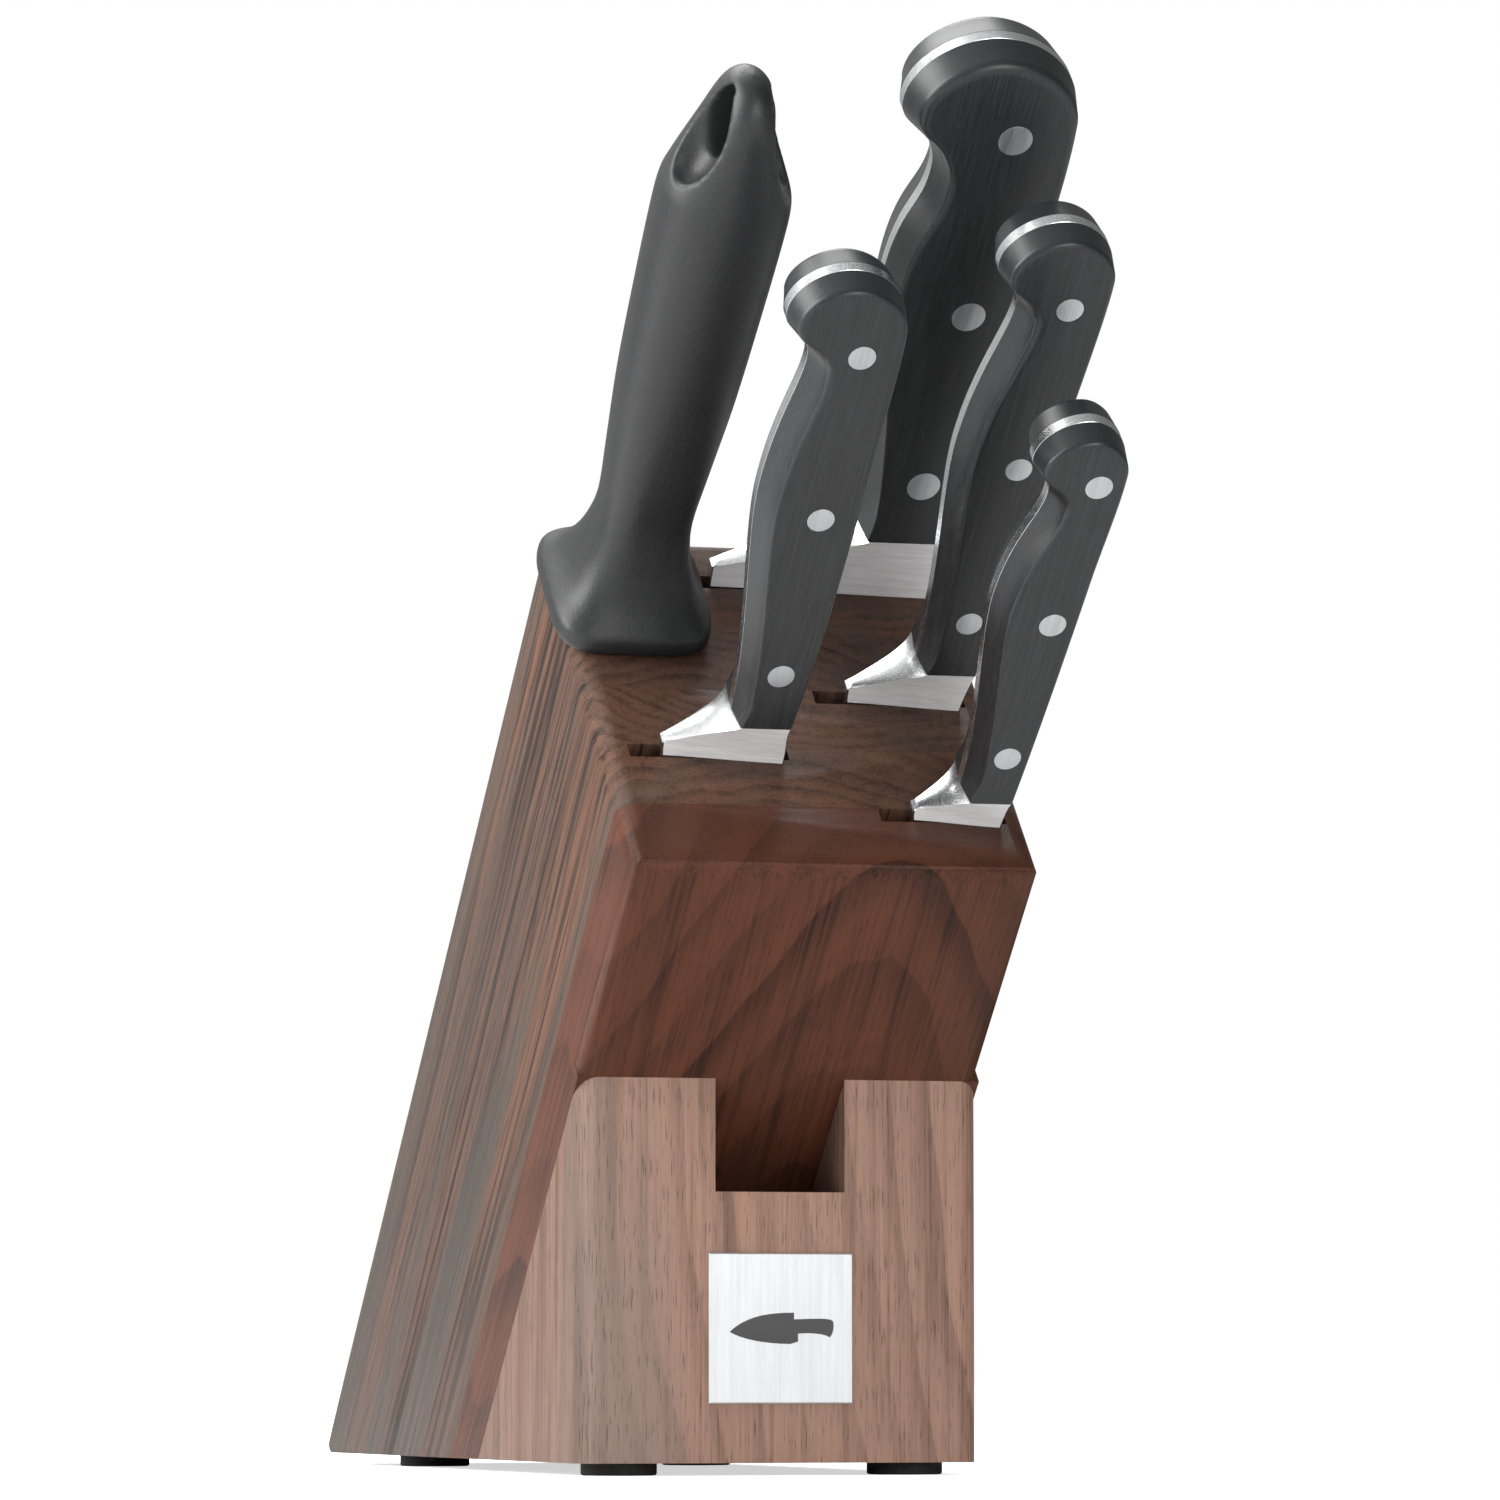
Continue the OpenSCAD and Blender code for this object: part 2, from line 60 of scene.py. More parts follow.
BOARD_T = 17.7
BACK_BOARD_T = 12.2
SLOT_AXIS = frame["record"]["behaviour"]["joints"][0]["axis"]
LEAN = math.atan2(-SLOT_AXIS[1], SLOT_AXIS[2])
plain_lo, plain_hi = (Vector(c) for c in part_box("fourth_board"))
NOSE_Y = plain_lo.y - 3 * BOARD_T * MM * math.cos(LEAN)
NOSE_Z = plain_hi.z - 4 * BOARD_T * MM * math.sin(LEAN)
NOSE = Vector((0, NOSE_Y, NOSE_Z))
STACK = Matrix.Translation(NOSE) @ Matrix.Rotation(LEAN, 4, "X") @ Matrix.Scale(MM, 4)
support_lo = Vector(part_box("support")[0])
FRONT_Y = support_lo.y
UNDER_Z = support_lo.z

# ---- Sizes of the knives, in millimetres ----

# pitch is the rivets' spacing, spine_side the handle's width beyond them on the spine side,
# crown_h its height over the top rivet, tilt the rivet row's lean in degrees and belly_set
# how strongly the belly wall slants in.
KNIVES = {
    "paring": dict(
        board=1, blade_len=100, blade_h=18.5, pitch=34.2, handle_w=16.3, handle_t=14.4,
        spine_side=4.9, crown_h=11.2, bolster_h=9.8, rivet_d=5.5, rivet_inset=3.8, tilt=1.6,
        belly_set=0.95,
    ),
    "utility": dict(
        board=2, blade_len=140, blade_h=25.3, pitch=39.4, handle_w=19.4, handle_t=14.7,
        spine_side=7.5, crown_h=16.1, bolster_h=12.6, rivet_d=5.5, rivet_inset=7.6,
        tilt=-0.8, belly_set=1.1,
    ),
    "carving": dict(
        board=3, blade_len=180, blade_h=24.2, pitch=39.4, handle_w=19.2, handle_t=14.7,
        spine_side=7.1, crown_h=16.5, bolster_h=12.8, rivet_d=5.5, rivet_inset=4.3,
        tilt=1.3, belly_set=1.0,
    ),
    "chef": dict(
        board=5, blade_len=200, blade_h=46.6, pitch=43.1, handle_w=28.7, handle_t=17.6,
        spine_side=11.6, crown_h=18.7, bolster_h=19.0, rivet_d=7.0, rivet_inset=10.3,
        tilt=-0.8, belly_set=0.75,
    ),
}
SLOT_T = 3.8
BLADE_T = 2.2
TANG_T = 2.7
HEEL_HALF_T = 1.5
SHOULDER_HALF_T = 3.0
# Shares of the handle's width and pitch that give all four handles one shape
SPINE_SHARE = 0.255
BELLY_SHARE = 0.325
END_SHARE = 1.345


# ---- Shading tools ----


class Nodes:
    """Short ways to add nodes to a tree and join them."""

    def __init__(self, tree):
        self.tree = tree

    def add(self, kind, inputs=None, **settings):
        node = self.tree.nodes.new(kind)
        for name, value in settings.items():
            setattr(node, name, value)
        for name, value in (inputs or {}).items():
            self.give(node.inputs[name], value)
        return node

    def give(self, socket, value):
        if isinstance(value, bpy.types.NodeSocket):
            self.tree.links.new(value, socket)
        else:
            socket.default_value = value

    def math(self, operation, a, b=0.0, c=0.0, clamp=False):
        node = self.add("ShaderNodeMath", {0: a, 1: b, 2: c}, operation=operation)
        node.use_clamp = clamp
        return node.outputs[0]

    def vector(self, operation, a, b):
        node = self.add("ShaderNodeVectorMath", {0: a, 1: b}, operation=operation)
        return node.outputs[0]

    def noise(self, place, scale=1.0, detail=2.0, roughness=0.5, distortion=0.0):
        node = self.add(
            "ShaderNodeTexNoise",
            {
                "Vector": place, "Scale": scale, "Detail": detail,
                "Roughness": roughness, "Distortion": distortion,
            },
        )
        return node.outputs["Fac"]

    def ramp(self, value, low, high, out_low=0.0, out_high=1.0):
        node = self.add(
            "ShaderNodeMapRange",
            {
                "Value": value, "From Min": low, "From Max": high,
                "To Min": out_low, "To Max": out_high,
            },
            interpolation_type="SMOOTHSTEP",
        )
        return node.outputs["Result"]

    def mix(self, share, a, b, blend="MIX"):
        node = self.add("ShaderNodeMix", data_type="RGBA", blend_type=blend)
        self.give(node.inputs["Factor"], share)
        self.give(node.inputs["A"], a)
        self.give(node.inputs["B"], b)
        return node.outputs["Result"]


def shader_group(name, inputs, outputs):
    """A shader node group with named sockets; returns it with its tools and end nodes."""
    tree = bpy.data.node_groups.new(name, "ShaderNodeTree")
    for socket, kind, value in inputs:
        made = tree.interface.new_socket(socket, in_out="INPUT", socket_type="NodeSocket" + kind)
        if value is not None:
            made.default_value = value
    for socket, kind in outputs:
        tree.interface.new_socket(socket, in_out="OUTPUT", socket_type="NodeSocket" + kind)
    nodes = Nodes(tree)
    start = nodes.add("NodeGroupInput").outputs
    end = nodes.add("NodeGroupOutput").inputs
    return tree, nodes, start, end


def new_material(name, **shader_values):
    """A material with one Principled shader; values are set on the shader's own sockets."""
    material = bpy.data.materials.new(name)
    material.use_nodes = True
    nodes = Nodes(material.node_tree)
    shader = material.node_tree.nodes["Principled BSDF"]
    for socket, value in shader_values.items():
        shader.inputs[socket.replace("_", " ")].default_value = value
    return material, nodes, shader


def place_in(nodes, upright=False):
    """Object coordinates in millimetres, in the stack frame or upright at the front face."""
    node = nodes.add(
        "ShaderNodeMapping",
        {
            "Vector": nodes.add("ShaderNodeTexCoord").outputs["Object"],
            "Location": (0, FRONT_Y, UNDER_Z) if upright else NOSE,
            "Rotation": (0 if upright else LEAN, 0, 0),
            "Scale": (MM, MM, MM),
        },
        vector_type="TEXTURE",
    )
    return node.outputs["Vector"]


def use_group(nodes, tree, **inputs):
    node = nodes.add("ShaderNodeGroup", node_tree=tree)
    for name, value in inputs.items():
        nodes.give(node.inputs[name.replace("_", " ")], value)
    return node.outputs


def bump(nodes, shader, height, depth_mm, strength=1.0):
    node = nodes.add(
        "ShaderNodeBump", {"Height": height, "Distance": depth_mm * MM, "Strength": strength}
    )
    nodes.give(shader.inputs["Normal"], node.outputs["Normal"])


def walnut_grain_group():
    """Walnut: growth rings, dark streaks, fibres and pores. z runs along the grain."""
    tree, n, start, end = shader_group(
        "walnut_grain",
        [
            ("Place", "Vector", None),
            ("Seed", "Float", 0.0),
            ("Ring Width", "Float", 3.0),
            ("Pith X", "Float", 0.0),
            ("Pith Y", "Float", -60.0),
            ("Light Wood", "Color", (0.3, 0.17, 0.11, 1)),
            ("Dark Wood", "Color", (0.12, 0.06, 0.04, 1)),
            ("Grey Wood", "Color", (0.2, 0.17, 0.15, 1)),
            ("Greyness", "Float", 0.4),
            ("Contrast", "Float", 1.0),
            ("Pores", "Float", 0.5),
            ("Streaks", "Float", 1.0),
            ("Taper", "Float", 0.0),
        ],
        [("Colour", "Color"), ("Roughness", "Float"), ("Height", "Float")],
    )
    # The seed moves the pattern, so that every board shows wood of its own
    shift = n.add(
        "ShaderNodeCombineXYZ",
        {
            "X": n.math("MULTIPLY", start["Seed"], 37.3),
            "Z": n.math("MULTIPLY", start["Seed"], 211.0),
        },
    )
    place = n.vector("ADD", start["Place"], shift.outputs["Vector"])
    # Slow waviness of the rings. Every noise is stretched along the grain: its three numbers
    # are waves per millimetre across, through and along the board.
    wave = n.noise(n.vector("MULTIPLY", place, (0.022, 0.022, 0.0065)), 1.0, 2.0)
    fine_wave = n.noise(n.vector("MULTIPLY", place, (0.11, 0.11, 0.016)), 1.0, 2.0)
    parts = n.add("ShaderNodeSeparateXYZ", {"Vector": start["Place"]}).outputs
    across = n.math("SUBTRACT", parts["X"], start["Pith X"])
    through = n.math("SUBTRACT", parts["Y"], start["Pith Y"])
    radius = n.math(
        "SQRT",
        n.math("ADD", n.math("MULTIPLY", across, across), n.math("MULTIPLY", through, through)),
    )
    # A tapering trunk draws arches on a face that lies close to its pith
    radius = n.math("MULTIPLY_ADD", parts["Z"], start["Taper"], radius)
    radius = n.math("MULTIPLY_ADD", wave, 26.0, radius)
    radius = n.math("MULTIPLY_ADD", fine_wave, 3.2, radius)
    turns = n.math("DIVIDE", radius, start["Ring Width"])
    phase = n.math("FRACT", turns)
    late = n.math("MULTIPLY", n.ramp(phase, 0.25, 0.93), n.ramp(phase, 1.0, 0.94))
    uneven = n.noise(n.add("ShaderNodeCombineXYZ", {"X": turns}).outputs[0], 0.55, 1.0)
    late = n.math("MULTIPLY", late, n.ramp(uneven, 0.3, 0.7, 0.25, 1.0))
    # Dark streaks, fine fibres and open pores along the grain
    broad = n.noise(n.vector("MULTIPLY", place, (0.10, 0.10, 0.0045)), 1.0, 3.0, 0.6)
    broad = n.ramp(broad, 0.46, 0.66)
    streak = n.noise(n.vector("MULTIPLY", place, (0.42, 0.42, 0.0075)), 1.0, 3.0, 0.65)
    streak = n.ramp(streak, 0.50, 0.62)
    fibre = n.noise(n.vector("MULTIPLY", place, (1.7, 1.7, 0.020)), 1.0, 4.0, 0.65)
    pore = n.noise(n.vector("MULTIPLY", place, (3.1, 3.1, 0.15)), 1.0, 2.0, 0.6)
    pore = n.math("MULTIPLY", n.ramp(pore, 0.56, 0.68), start["Pores"])
    tone = n.noise(n.vector("MULTIPLY", place, (0.035, 0.035, 0.0035)), 1.0, 2.0)
    # Colour
    lines = n.math("MULTIPLY", n.math("MULTIPLY_ADD", broad, 0.75, streak), start["Streaks"])
    dark = n.math("MULTIPLY", late, 0.55)
    dark = n.math("MULTIPLY_ADD", lines, 0.6, dark)
    dark = n.math("ADD", dark, n.ramp(fibre, 0.25, 0.75, -0.25, 0.25))
    dark = n.math("MULTIPLY", dark, start["Contrast"], clamp=True)
    wood = n.mix(dark, start["Light Wood"], start["Dark Wood"])
    # Grey heartwood gathers towards the foot of the boards
    tone = n.math("MULTIPLY_ADD", parts["Z"], -0.0009, tone)
    grey = n.math("MULTIPLY", n.ramp(tone, 0.45, 0.72), start["Greyness"])
    wood = n.mix(grey, wood, start["Grey Wood"])
    pore_dark = (0.012, 0.008, 0.007, 1)
    wood = n.mix(pore, wood, pore_dark)
    n.give(end["Colour"], wood)
    n.give(end["Roughness"], n.ramp(fibre, 0.2, 0.8, 0.36, 0.50))
    n.give(end["Height"], n.math("SUBTRACT", n.math("MULTIPLY", fibre, 0.35), pore))
    return tree


def brushing_group():
    """Fine parallel scratches. Lines run along z of the vector that comes in."""
    tree, n, start, end = shader_group(
        "brushing",
        [("Place", "Vector", None), ("Fineness", "Float", 6.0), ("Base Roughness", "Float", 0.3)],
        [("Roughness", "Float"), ("Height", "Float"), ("Tone", "Float")],
    )
    drawn = n.vector("MULTIPLY", start["Place"], (1.0, 1.0, 0.018))
    lines = n.noise(drawn, start["Fineness"], 4.0, 0.7)
    broad = n.noise(n.vector("MULTIPLY", start["Place"], (0.9, 0.9, 0.05)), 1.0, 2.0)
    n.give(end["Height"], lines)
    n.give(end["Tone"], n.ramp(n.math("MULTIPLY_ADD", broad, 0.6, lines), 0.5, 1.1, 0.80, 1.0))
    n.give(
        end["Roughness"],
        n.math("MULTIPLY_ADD", n.math("SUBTRACT", lines, 0.5), 0.28, start["Base Roughness"]),
    )
    return tree


def moulded_group():
    """Spark-eroded plastic: a fine even grain with soft unevenness below it."""
    tree, n, start, end = shader_group(
        "moulded_grain",
        [("Place", "Vector", None), ("Grain", "Float", 2.6), ("Base Roughness", "Float", 0.5)],
        [("Roughness", "Float"), ("Height", "Float"), ("Tone", "Float")],
    )
    grain = n.noise(start["Place"], start["Grain"], 3.0, 0.6)
    patch = n.noise(start["Place"], 0.07, 2.0)
    n.give(end["Height"], grain)
    tone = n.ramp(grain, 0.3, 0.7, 0.75, 1.2)
    n.give(end["Tone"], n.math("ADD", tone, n.ramp(patch, 0, 1, -0.1, 0.1)))
    n.give(
        end["Roughness"],
        n.math("MULTIPLY_ADD", n.math("SUBTRACT", patch, 0.5), 0.12, start["Base Roughness"]),
    )
    return tree


WALNUT = walnut_grain_group()
BRUSHING = brushing_group()
MOULDED = moulded_group()


# ---- Materials ----


def walnut(name, seed, light, dark, grey, upright=False, end_dark=0.78, streaks=1.35, **grain):
    """Oiled walnut. End grain drinks more oil, so it is darker than the long faces. On upright wood
    the left side is darkened instead: painted shade.
    """
    material, n, shader = new_material(name)
    shader.inputs["Specular IOR Level"].default_value = 0.12
    # Upright wood gets painted shade on its left side, leaning boards are darker on their end grain
    end_grain_and_shade_way = (-1, 0, 0) if upright else tuple(SLOT_AXIS)
    facing = n.add(
        "ShaderNodeVectorMath",
        {0: n.add("ShaderNodeTexCoord").outputs["Normal"], 1: end_grain_and_shade_way},
        operation="DOT_PRODUCT",
    ).outputs["Value"]
    end_grain_and_shade = n.ramp(facing, 0.4, 0.95)
    # Streaks run with the grain, so end grain hardly shows them
    end_streaks = streaks if upright else 0.3 * streaks
    out = use_group(
        n, WALNUT, Place=place_in(n, upright), Seed=seed, Light_Wood=light, Dark_Wood=dark,
        Grey_Wood=grey, Streaks=n.ramp(facing, 0.4, 0.95, streaks, end_streaks), **grain,
    )
    # Darker end grain on the boards; on the upright support, painted shade on its left side
    colour = n.mix(
        end_grain_and_shade, out["Colour"],
        n.mix(1.0, out["Colour"], (end_dark, end_dark, end_dark, 1), "MULTIPLY"),
    )
    n.give(shader.inputs["Base Color"], colour)
    n.give(shader.inputs["Roughness"], out["Roughness"])
    bump(n, shader, out["Height"], 0.06, 0.6)
    return material


def brushed_metal(
    name, colour, roughness, fineness, depth_mm, along="z", metallic=1.0, upright=False
):
    """Steel with parallel brushing. along names the axis that the lines follow."""
    material, n, shader = new_material(name, Metallic=metallic)
    place = place_in(n, upright)
    if along == "x":
        turn = n.add("ShaderNodeSeparateXYZ", {"Vector": place}).outputs
        place = n.add(
            "ShaderNodeCombineXYZ", {"X": turn["Z"], "Y": turn["Y"], "Z": turn["X"]}
        ).outputs["Vector"]
    out = use_group(n, BRUSHING, Place=place, Fineness=fineness, Base_Roughness=roughness)
    grey = n.add("ShaderNodeCombineColor", {i: out["Tone"] for i in range(3)}).outputs["Color"]
    n.give(shader.inputs["Base Color"], n.mix(1.0, colour, grey, "MULTIPLY"))
    n.give(shader.inputs["Roughness"], out["Roughness"])
    bump(n, shader, out["Height"], depth_mm, 0.5)
    return material


def plastic(name, colour, roughness, grain, depth_mm, specular=0.5):
    """Moulded plastic or rubber. grain is in waves per millimetre."""
    material, n, shader = new_material(name)
    shader.inputs["Specular IOR Level"].default_value = specular
    place = place_in(n)
    out = use_group(n, MOULDED, Place=place, Grain=grain, Base_Roughness=roughness)
    grey = n.add("ShaderNodeCombineColor", {i: out["Tone"] for i in range(3)}).outputs["Color"]
    n.give(shader.inputs["Base Color"], n.mix(1.0, colour, grey, "MULTIPLY"))
    n.give(shader.inputs["Roughness"], out["Roughness"])
    bump(n, shader, out["Height"], depth_mm, 0.5)
    return material


def scale_plastic():
    """Black grip plastic, finely sanded along the handle, with a few pale flecks."""
    material, n, shader = new_material("black_scale")
    shader.inputs["Specular IOR Level"].default_value = 0.36
    place = place_in(n)
    out = use_group(n, BRUSHING, Place=place, Fineness=3.2, Base_Roughness=0.36)
    fleck = n.noise(n.vector("MULTIPLY", place, (2.4, 2.4, 0.5)), 1.0, 1.0)
    share = n.math("MULTIPLY", n.ramp(fleck, 0.70, 0.82), 0.5)
    colour = n.mix(share, (0.009, 0.0094, 0.0100, 1), (0.05, 0.05, 0.052, 1))
    colour = n.mix(n.ramp(out["Height"], 0.35, 0.75), colour, (0.022, 0.023, 0.0245, 1))
    n.give(shader.inputs["Base Color"], colour)
    n.give(shader.inputs["Roughness"], out["Roughness"])
    bump(n, shader, out["Height"], 0.03, 0.5)
    return material


# Light, dark and grey tones of each board, front to back
BOARD_WOODS = {
    "front": dict(
        seed=1.7, light=(0.0860, 0.0290, 0.0158, 1), dark=(0.0170, 0.0074, 0.0045, 1),
        grey=(0.0370, 0.0200, 0.0140, 1), Ring_Width=11.0, Pith_X=14.0, Pith_Y=-16.0,
        Greyness=0.35, streaks=0.45, Taper=0.35,
    ),
    "second": dict(
        seed=4.1, light=(0.1200, 0.0560, 0.0330, 1), dark=(0.0190, 0.0100, 0.0070, 1),
        grey=(0.0600, 0.0470, 0.0390, 1), Ring_Width=4.2, Pith_X=-12.0, Pith_Y=-60.0,
        Greyness=0.6,
    ),
    "third": dict(
        seed=7.9, light=(0.1060, 0.0540, 0.0350, 1), dark=(0.0180, 0.0104, 0.0076, 1),
        grey=(0.0560, 0.0480, 0.0410, 1), Ring_Width=3.4, Pith_X=8.0, Pith_Y=120.0,
        Greyness=0.75,
    ),
    "fourth": dict(
        seed=11.3, light=(0.0960, 0.0500, 0.0340, 1), dark=(0.0170, 0.0108, 0.0082, 1),
        grey=(0.0550, 0.0490, 0.0430, 1), Ring_Width=3.8, Pith_X=-20.0, Pith_Y=-40.0,
        Greyness=0.85,
    ),
    "fifth": dict(
        seed=15.2, light=(0.1250, 0.0590, 0.0360, 1), dark=(0.0200, 0.0112, 0.0080, 1),
        grey=(0.0600, 0.0480, 0.0410, 1), Ring_Width=3.0, Pith_X=14.0, Pith_Y=170.0,
        Greyness=0.7,
    ),
    "back": dict(
        seed=19.6, light=(0.1150, 0.0560, 0.0350, 1), dark=(0.0190, 0.0112, 0.0084, 1),
        grey=(0.0590, 0.0500, 0.0430, 1), Ring_Width=4.6, Pith_X=-6.0, Pith_Y=30.0,
        Greyness=0.8,
    ),
}
# The support's darkening falls on its left side, a long-grain face: it is painted shade
SUPPORT_WOOD = dict(
    seed=23.4, light=(0.285, 0.168, 0.124, 1), dark=(0.066, 0.038, 0.029, 1),
    grey=(0.190, 0.150, 0.132, 1), Ring_Width=8.5, Pith_X=-74.0, Pith_Y=-26.0, Greyness=0.6,
    upright=True, Contrast=0.7, Pores=0.5, streaks=0.55, Taper=0.12, end_dark=0.60,
)

forged_polish = brushed_metal("forged_polish", (0.66, 0.665, 0.67, 1), 0.24, 4.0, 0.002)
# Coarser brushing scatters part of the light like a matt surface
forged_brushed = brushed_metal(
    "forged_brushed", (0.95, 0.955, 0.96, 1), 0.36, 3.5, 0.012, "x", metallic=0.3
)
blade_satin = brushed_metal("blade_satin", (0.76, 0.77, 0.78, 1), 0.24, 6.0, 0.006, "x")
rivet_steel = brushed_metal("rivet_steel", (0.46, 0.47, 0.48, 1), 0.38, 2.5, 0.02)
plate_steel = brushed_metal(
    "plate_steel", (0.47, 0.48, 0.485, 1), 0.42, 2.2, 0.02, metallic=0.6,
    upright=True,
)
rod_steel = brushed_metal("rod_steel", (0.60, 0.61, 0.62, 1), 0.30, 5.0, 0.01)
mark_black = plastic("mark_black", (0.012, 0.012, 0.013, 1), 0.45, 2.0, 0.004)
black_scale = scale_plastic()
handle_plastic = plastic("handle_plastic", (0.0130, 0.0134, 0.0142, 1), 0.44, 1.5, 0.15, 0.4)
foot_rubber = plastic("foot_rubber", (0.020, 0.020, 0.020, 1), 0.75, 1.2, 0.03, 0.3)


# ---- Mesh tools ----


def finish_mesh(mesh, materials, matrix=STACK, sharp_deg=35.0):
    """Puts a mesh in place, shades it smooth up to a corner angle and gives it materials."""
    mesh.transform(matrix)
    for material in materials:
        mesh.materials.append(material)
    mesh.shade_smooth()
    mesh.set_sharp_from_angle(angle=math.radians(sharp_deg))
    mesh.validate()
    mesh.update()


def add_piece(name, mesh, body, replaced):
    """A visible piece, riding on its body and standing for the CAD nodes it replaces."""
    piece = bpy.data.objects.new(name, mesh)
    bpy.context.scene.collection.objects.link(piece)
    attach(piece, body)
    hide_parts(*replaced)
    return piece


def outward(mesh, merge=True):
    """Merges doubles, unless told not to, and turns every closed shell's faces outwards."""
    work = bmesh.new()
    work.from_mesh(mesh)
    if merge:
        bmesh.ops.remove_doubles(work, verts=work.verts, dist=1e-5)
    bmesh.ops.recalc_face_normals(work, faces=work.faces)
    work.to_mesh(mesh)
    work.free()


def build_mesh(name, points, faces, face_materials=None):
    mesh = bpy.data.meshes.new(name)
    mesh.from_pydata(points, [], faces)
    if face_materials:
        mesh.polygons.foreach_set("material_index", face_materials)
    return mesh


def tube_faces(rows, count):
    """Walls between rows of ring points, then a cap at either end."""
    faces = []
    for j in range(rows - 1):
        for i in range(count):
            n = (i + 1) % count
            a, b = j * count + i, j * count + n
            faces.append((a, b, b + count, a + count))
    faces.append(tuple(range(count)))
    faces.append(tuple((rows - 1) * count + i for i in range(count)))
    return faces


def slice_faces(layers, columns):
    """Walls between layers of an open outline, then both flat faces and the open end."""
    faces = []
    for layer in range(layers - 1):
        for i in range(columns - 1):
            a = layer * columns + i
            faces.append((a, a + 1, a + columns + 1, a + columns))
    faces.append(tuple((layers - 1) * columns + i for i in range(columns)))
    faces.append(tuple(range(columns)))
    starts = [layer * columns for layer in range(layers)]
    ends = [start + columns - 1 for start in reversed(starts)]
    faces.append(tuple(starts + ends))
    return faces


def cubic(a, b, c, d, count):
    """Points of a cubic curve from a to d, led by b and c, without its last point."""
    points = []
    for i in range(count):
        t = i / count
        s = 1 - t
        points.append(
            tuple(
                s**3 * a[j] + 3 * s * s * t * b[j] + 3 * s * t * t * c[j] + t**3 * d[j]
                for j in range(len(a))
            )
        )
    return points


def eased(t):
    t = max(0.0, min(1.0, t))
    return t * t * (3 - 2 * t)


def between(a, b, t):
    return a + (b - a) * t


# ---- Knives ----

# How far the belly wall is still set in where it meets the bolster
FOOT_INSET = 0.7
# The forging's finishes, in the order of its materials
POLISHED, BRUSHED, SATIN = range(3)


def measure(name):
    """A knife's sizes, with the places that follow from them."""
    k = dict(KNIVES[name], name=name)
    k["heel"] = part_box(name + "_blade")[0][0] / MM
    k["spine"] = k["heel"] + k["blade_h"]
    k["mid_y"] = k["board"] * BOARD_T - SLOT_T / 2
    k["rivet_z"] = k["bolster_h"] + END_SHARE * k["pitch"]
    k["half_t"] = k["handle_t"] / 2
    return k


def rivet_x(k, z):
    """Where the line of rivets runs at height z; it leans a little on some knives."""
    lean = math.tan(math.radians(k["tilt"])) * (z - k["rivet_z"])
    return k["spine"] - k["rivet_inset"] + lean


def handle_outline(k, steps=12):
    """Outline from the bolster up the spine, over the crown and back down the belly.

    Each point is x, z, how far the grip's wall slants in there, and its roll's radius.
    """
    w, p, s = k["handle_w"], k["pitch"], k["spine_side"]
    b = w - s
    c = p + k["crown_h"]
    slant = k["belly_set"]
    foot_x, foot_z = SPINE_SHARE * w, -END_SHARE * p
    start = (foot_x, foot_z, 0.0, 0.4)
    # Each run of the curve: its two leading points, its end and how many steps it gets
    runs = [
        # up the spine
        ((0.3 * foot_x + 0.7 * s, -0.85 * p, 0.0, 0.4), (s, -0.3 * p, 0.0, 0.5),
         (s + 0.01 * w, 0.35 * p, 0.1, 0.7), 2 * steps),
        ((s + 0.02 * w, 0.55 * p, 0.2, 0.8), (s + 0.06 * w, c - 0.93 * w, 0.015 * w, 0.04 * w),
         (s + 0.055 * w, c - 0.54 * w, 0.03 * w, 0.065 * w), steps),
        # over the crown
        ((s + 0.05 * w, c - 0.27 * w, 0.035 * w, 0.08 * w), (s - 0.22 * w, c, 0.035 * w, 0.085 * w),
         (-0.17 * w, c, 0.035 * w, 0.08 * w), 2 * steps),
        ((-0.43 * w, c, 0.035 * w, 0.08 * w), (-0.75 * w, c - 0.22 * w, 0.04 * w, 0.075 * w),
         (-0.76 * w, c - 0.51 * w, 0.05 * w, 0.075 * w), 2 * steps),
        # round the hook to the throat
        ((-0.765 * w, c - 0.62 * w, 0.06 * w, 0.07 * w),
         (-0.73 * w, c - 0.68 * w, 0.07 * w, 0.06 * w),
         (-0.65 * w, c - 0.74 * w, 0.06 * w, 0.05 * w), steps),
        ((-0.55 * w, c - 0.81 * w, 0.06 * w, 0.05 * w),
         (-0.46 * w, c - 0.88 * w, 1.6 * slant, 1.5 * slant),
         (-0.445 * w, c - 1.06 * w, 2.5 * slant, 1.8 * slant), steps),
        # down the belly
        ((-0.43 * w, c - 1.42 * w, 3.0 * slant, 1.5 * slant), (-b, 0.5 * p, 2.6 * slant, 0.9),
         (-b, 0.08 * p, 2.4 * slant, 0.7), 2 * steps),
        ((-b, -0.25 * p, 2.2 * slant, 0.6), (-0.34 * w, -0.8 * p, 2.0 * slant, 0.6),
         (-BELLY_SHARE * w, foot_z, 1.9 * slant, 0.6), 2 * steps),
    ]
    points = []
    for lead, follow, end, count in runs:
        points += cubic(start, lead, follow, end, count)
        start = end
    points.append(start)
    z0 = k["rivet_z"]
    run_out = 5.0
    outline = []
    for u, v, inset, roll in points:
        # The slanted belly wall runs out on the bolster
        if u < 0 and v < 0:
            inset = between(FOOT_INSET, inset, eased((v - foot_z) / run_out))
        outline.append((rivet_x(k, z0 + v) + u, z0 + v, inset, roll))
    return outline


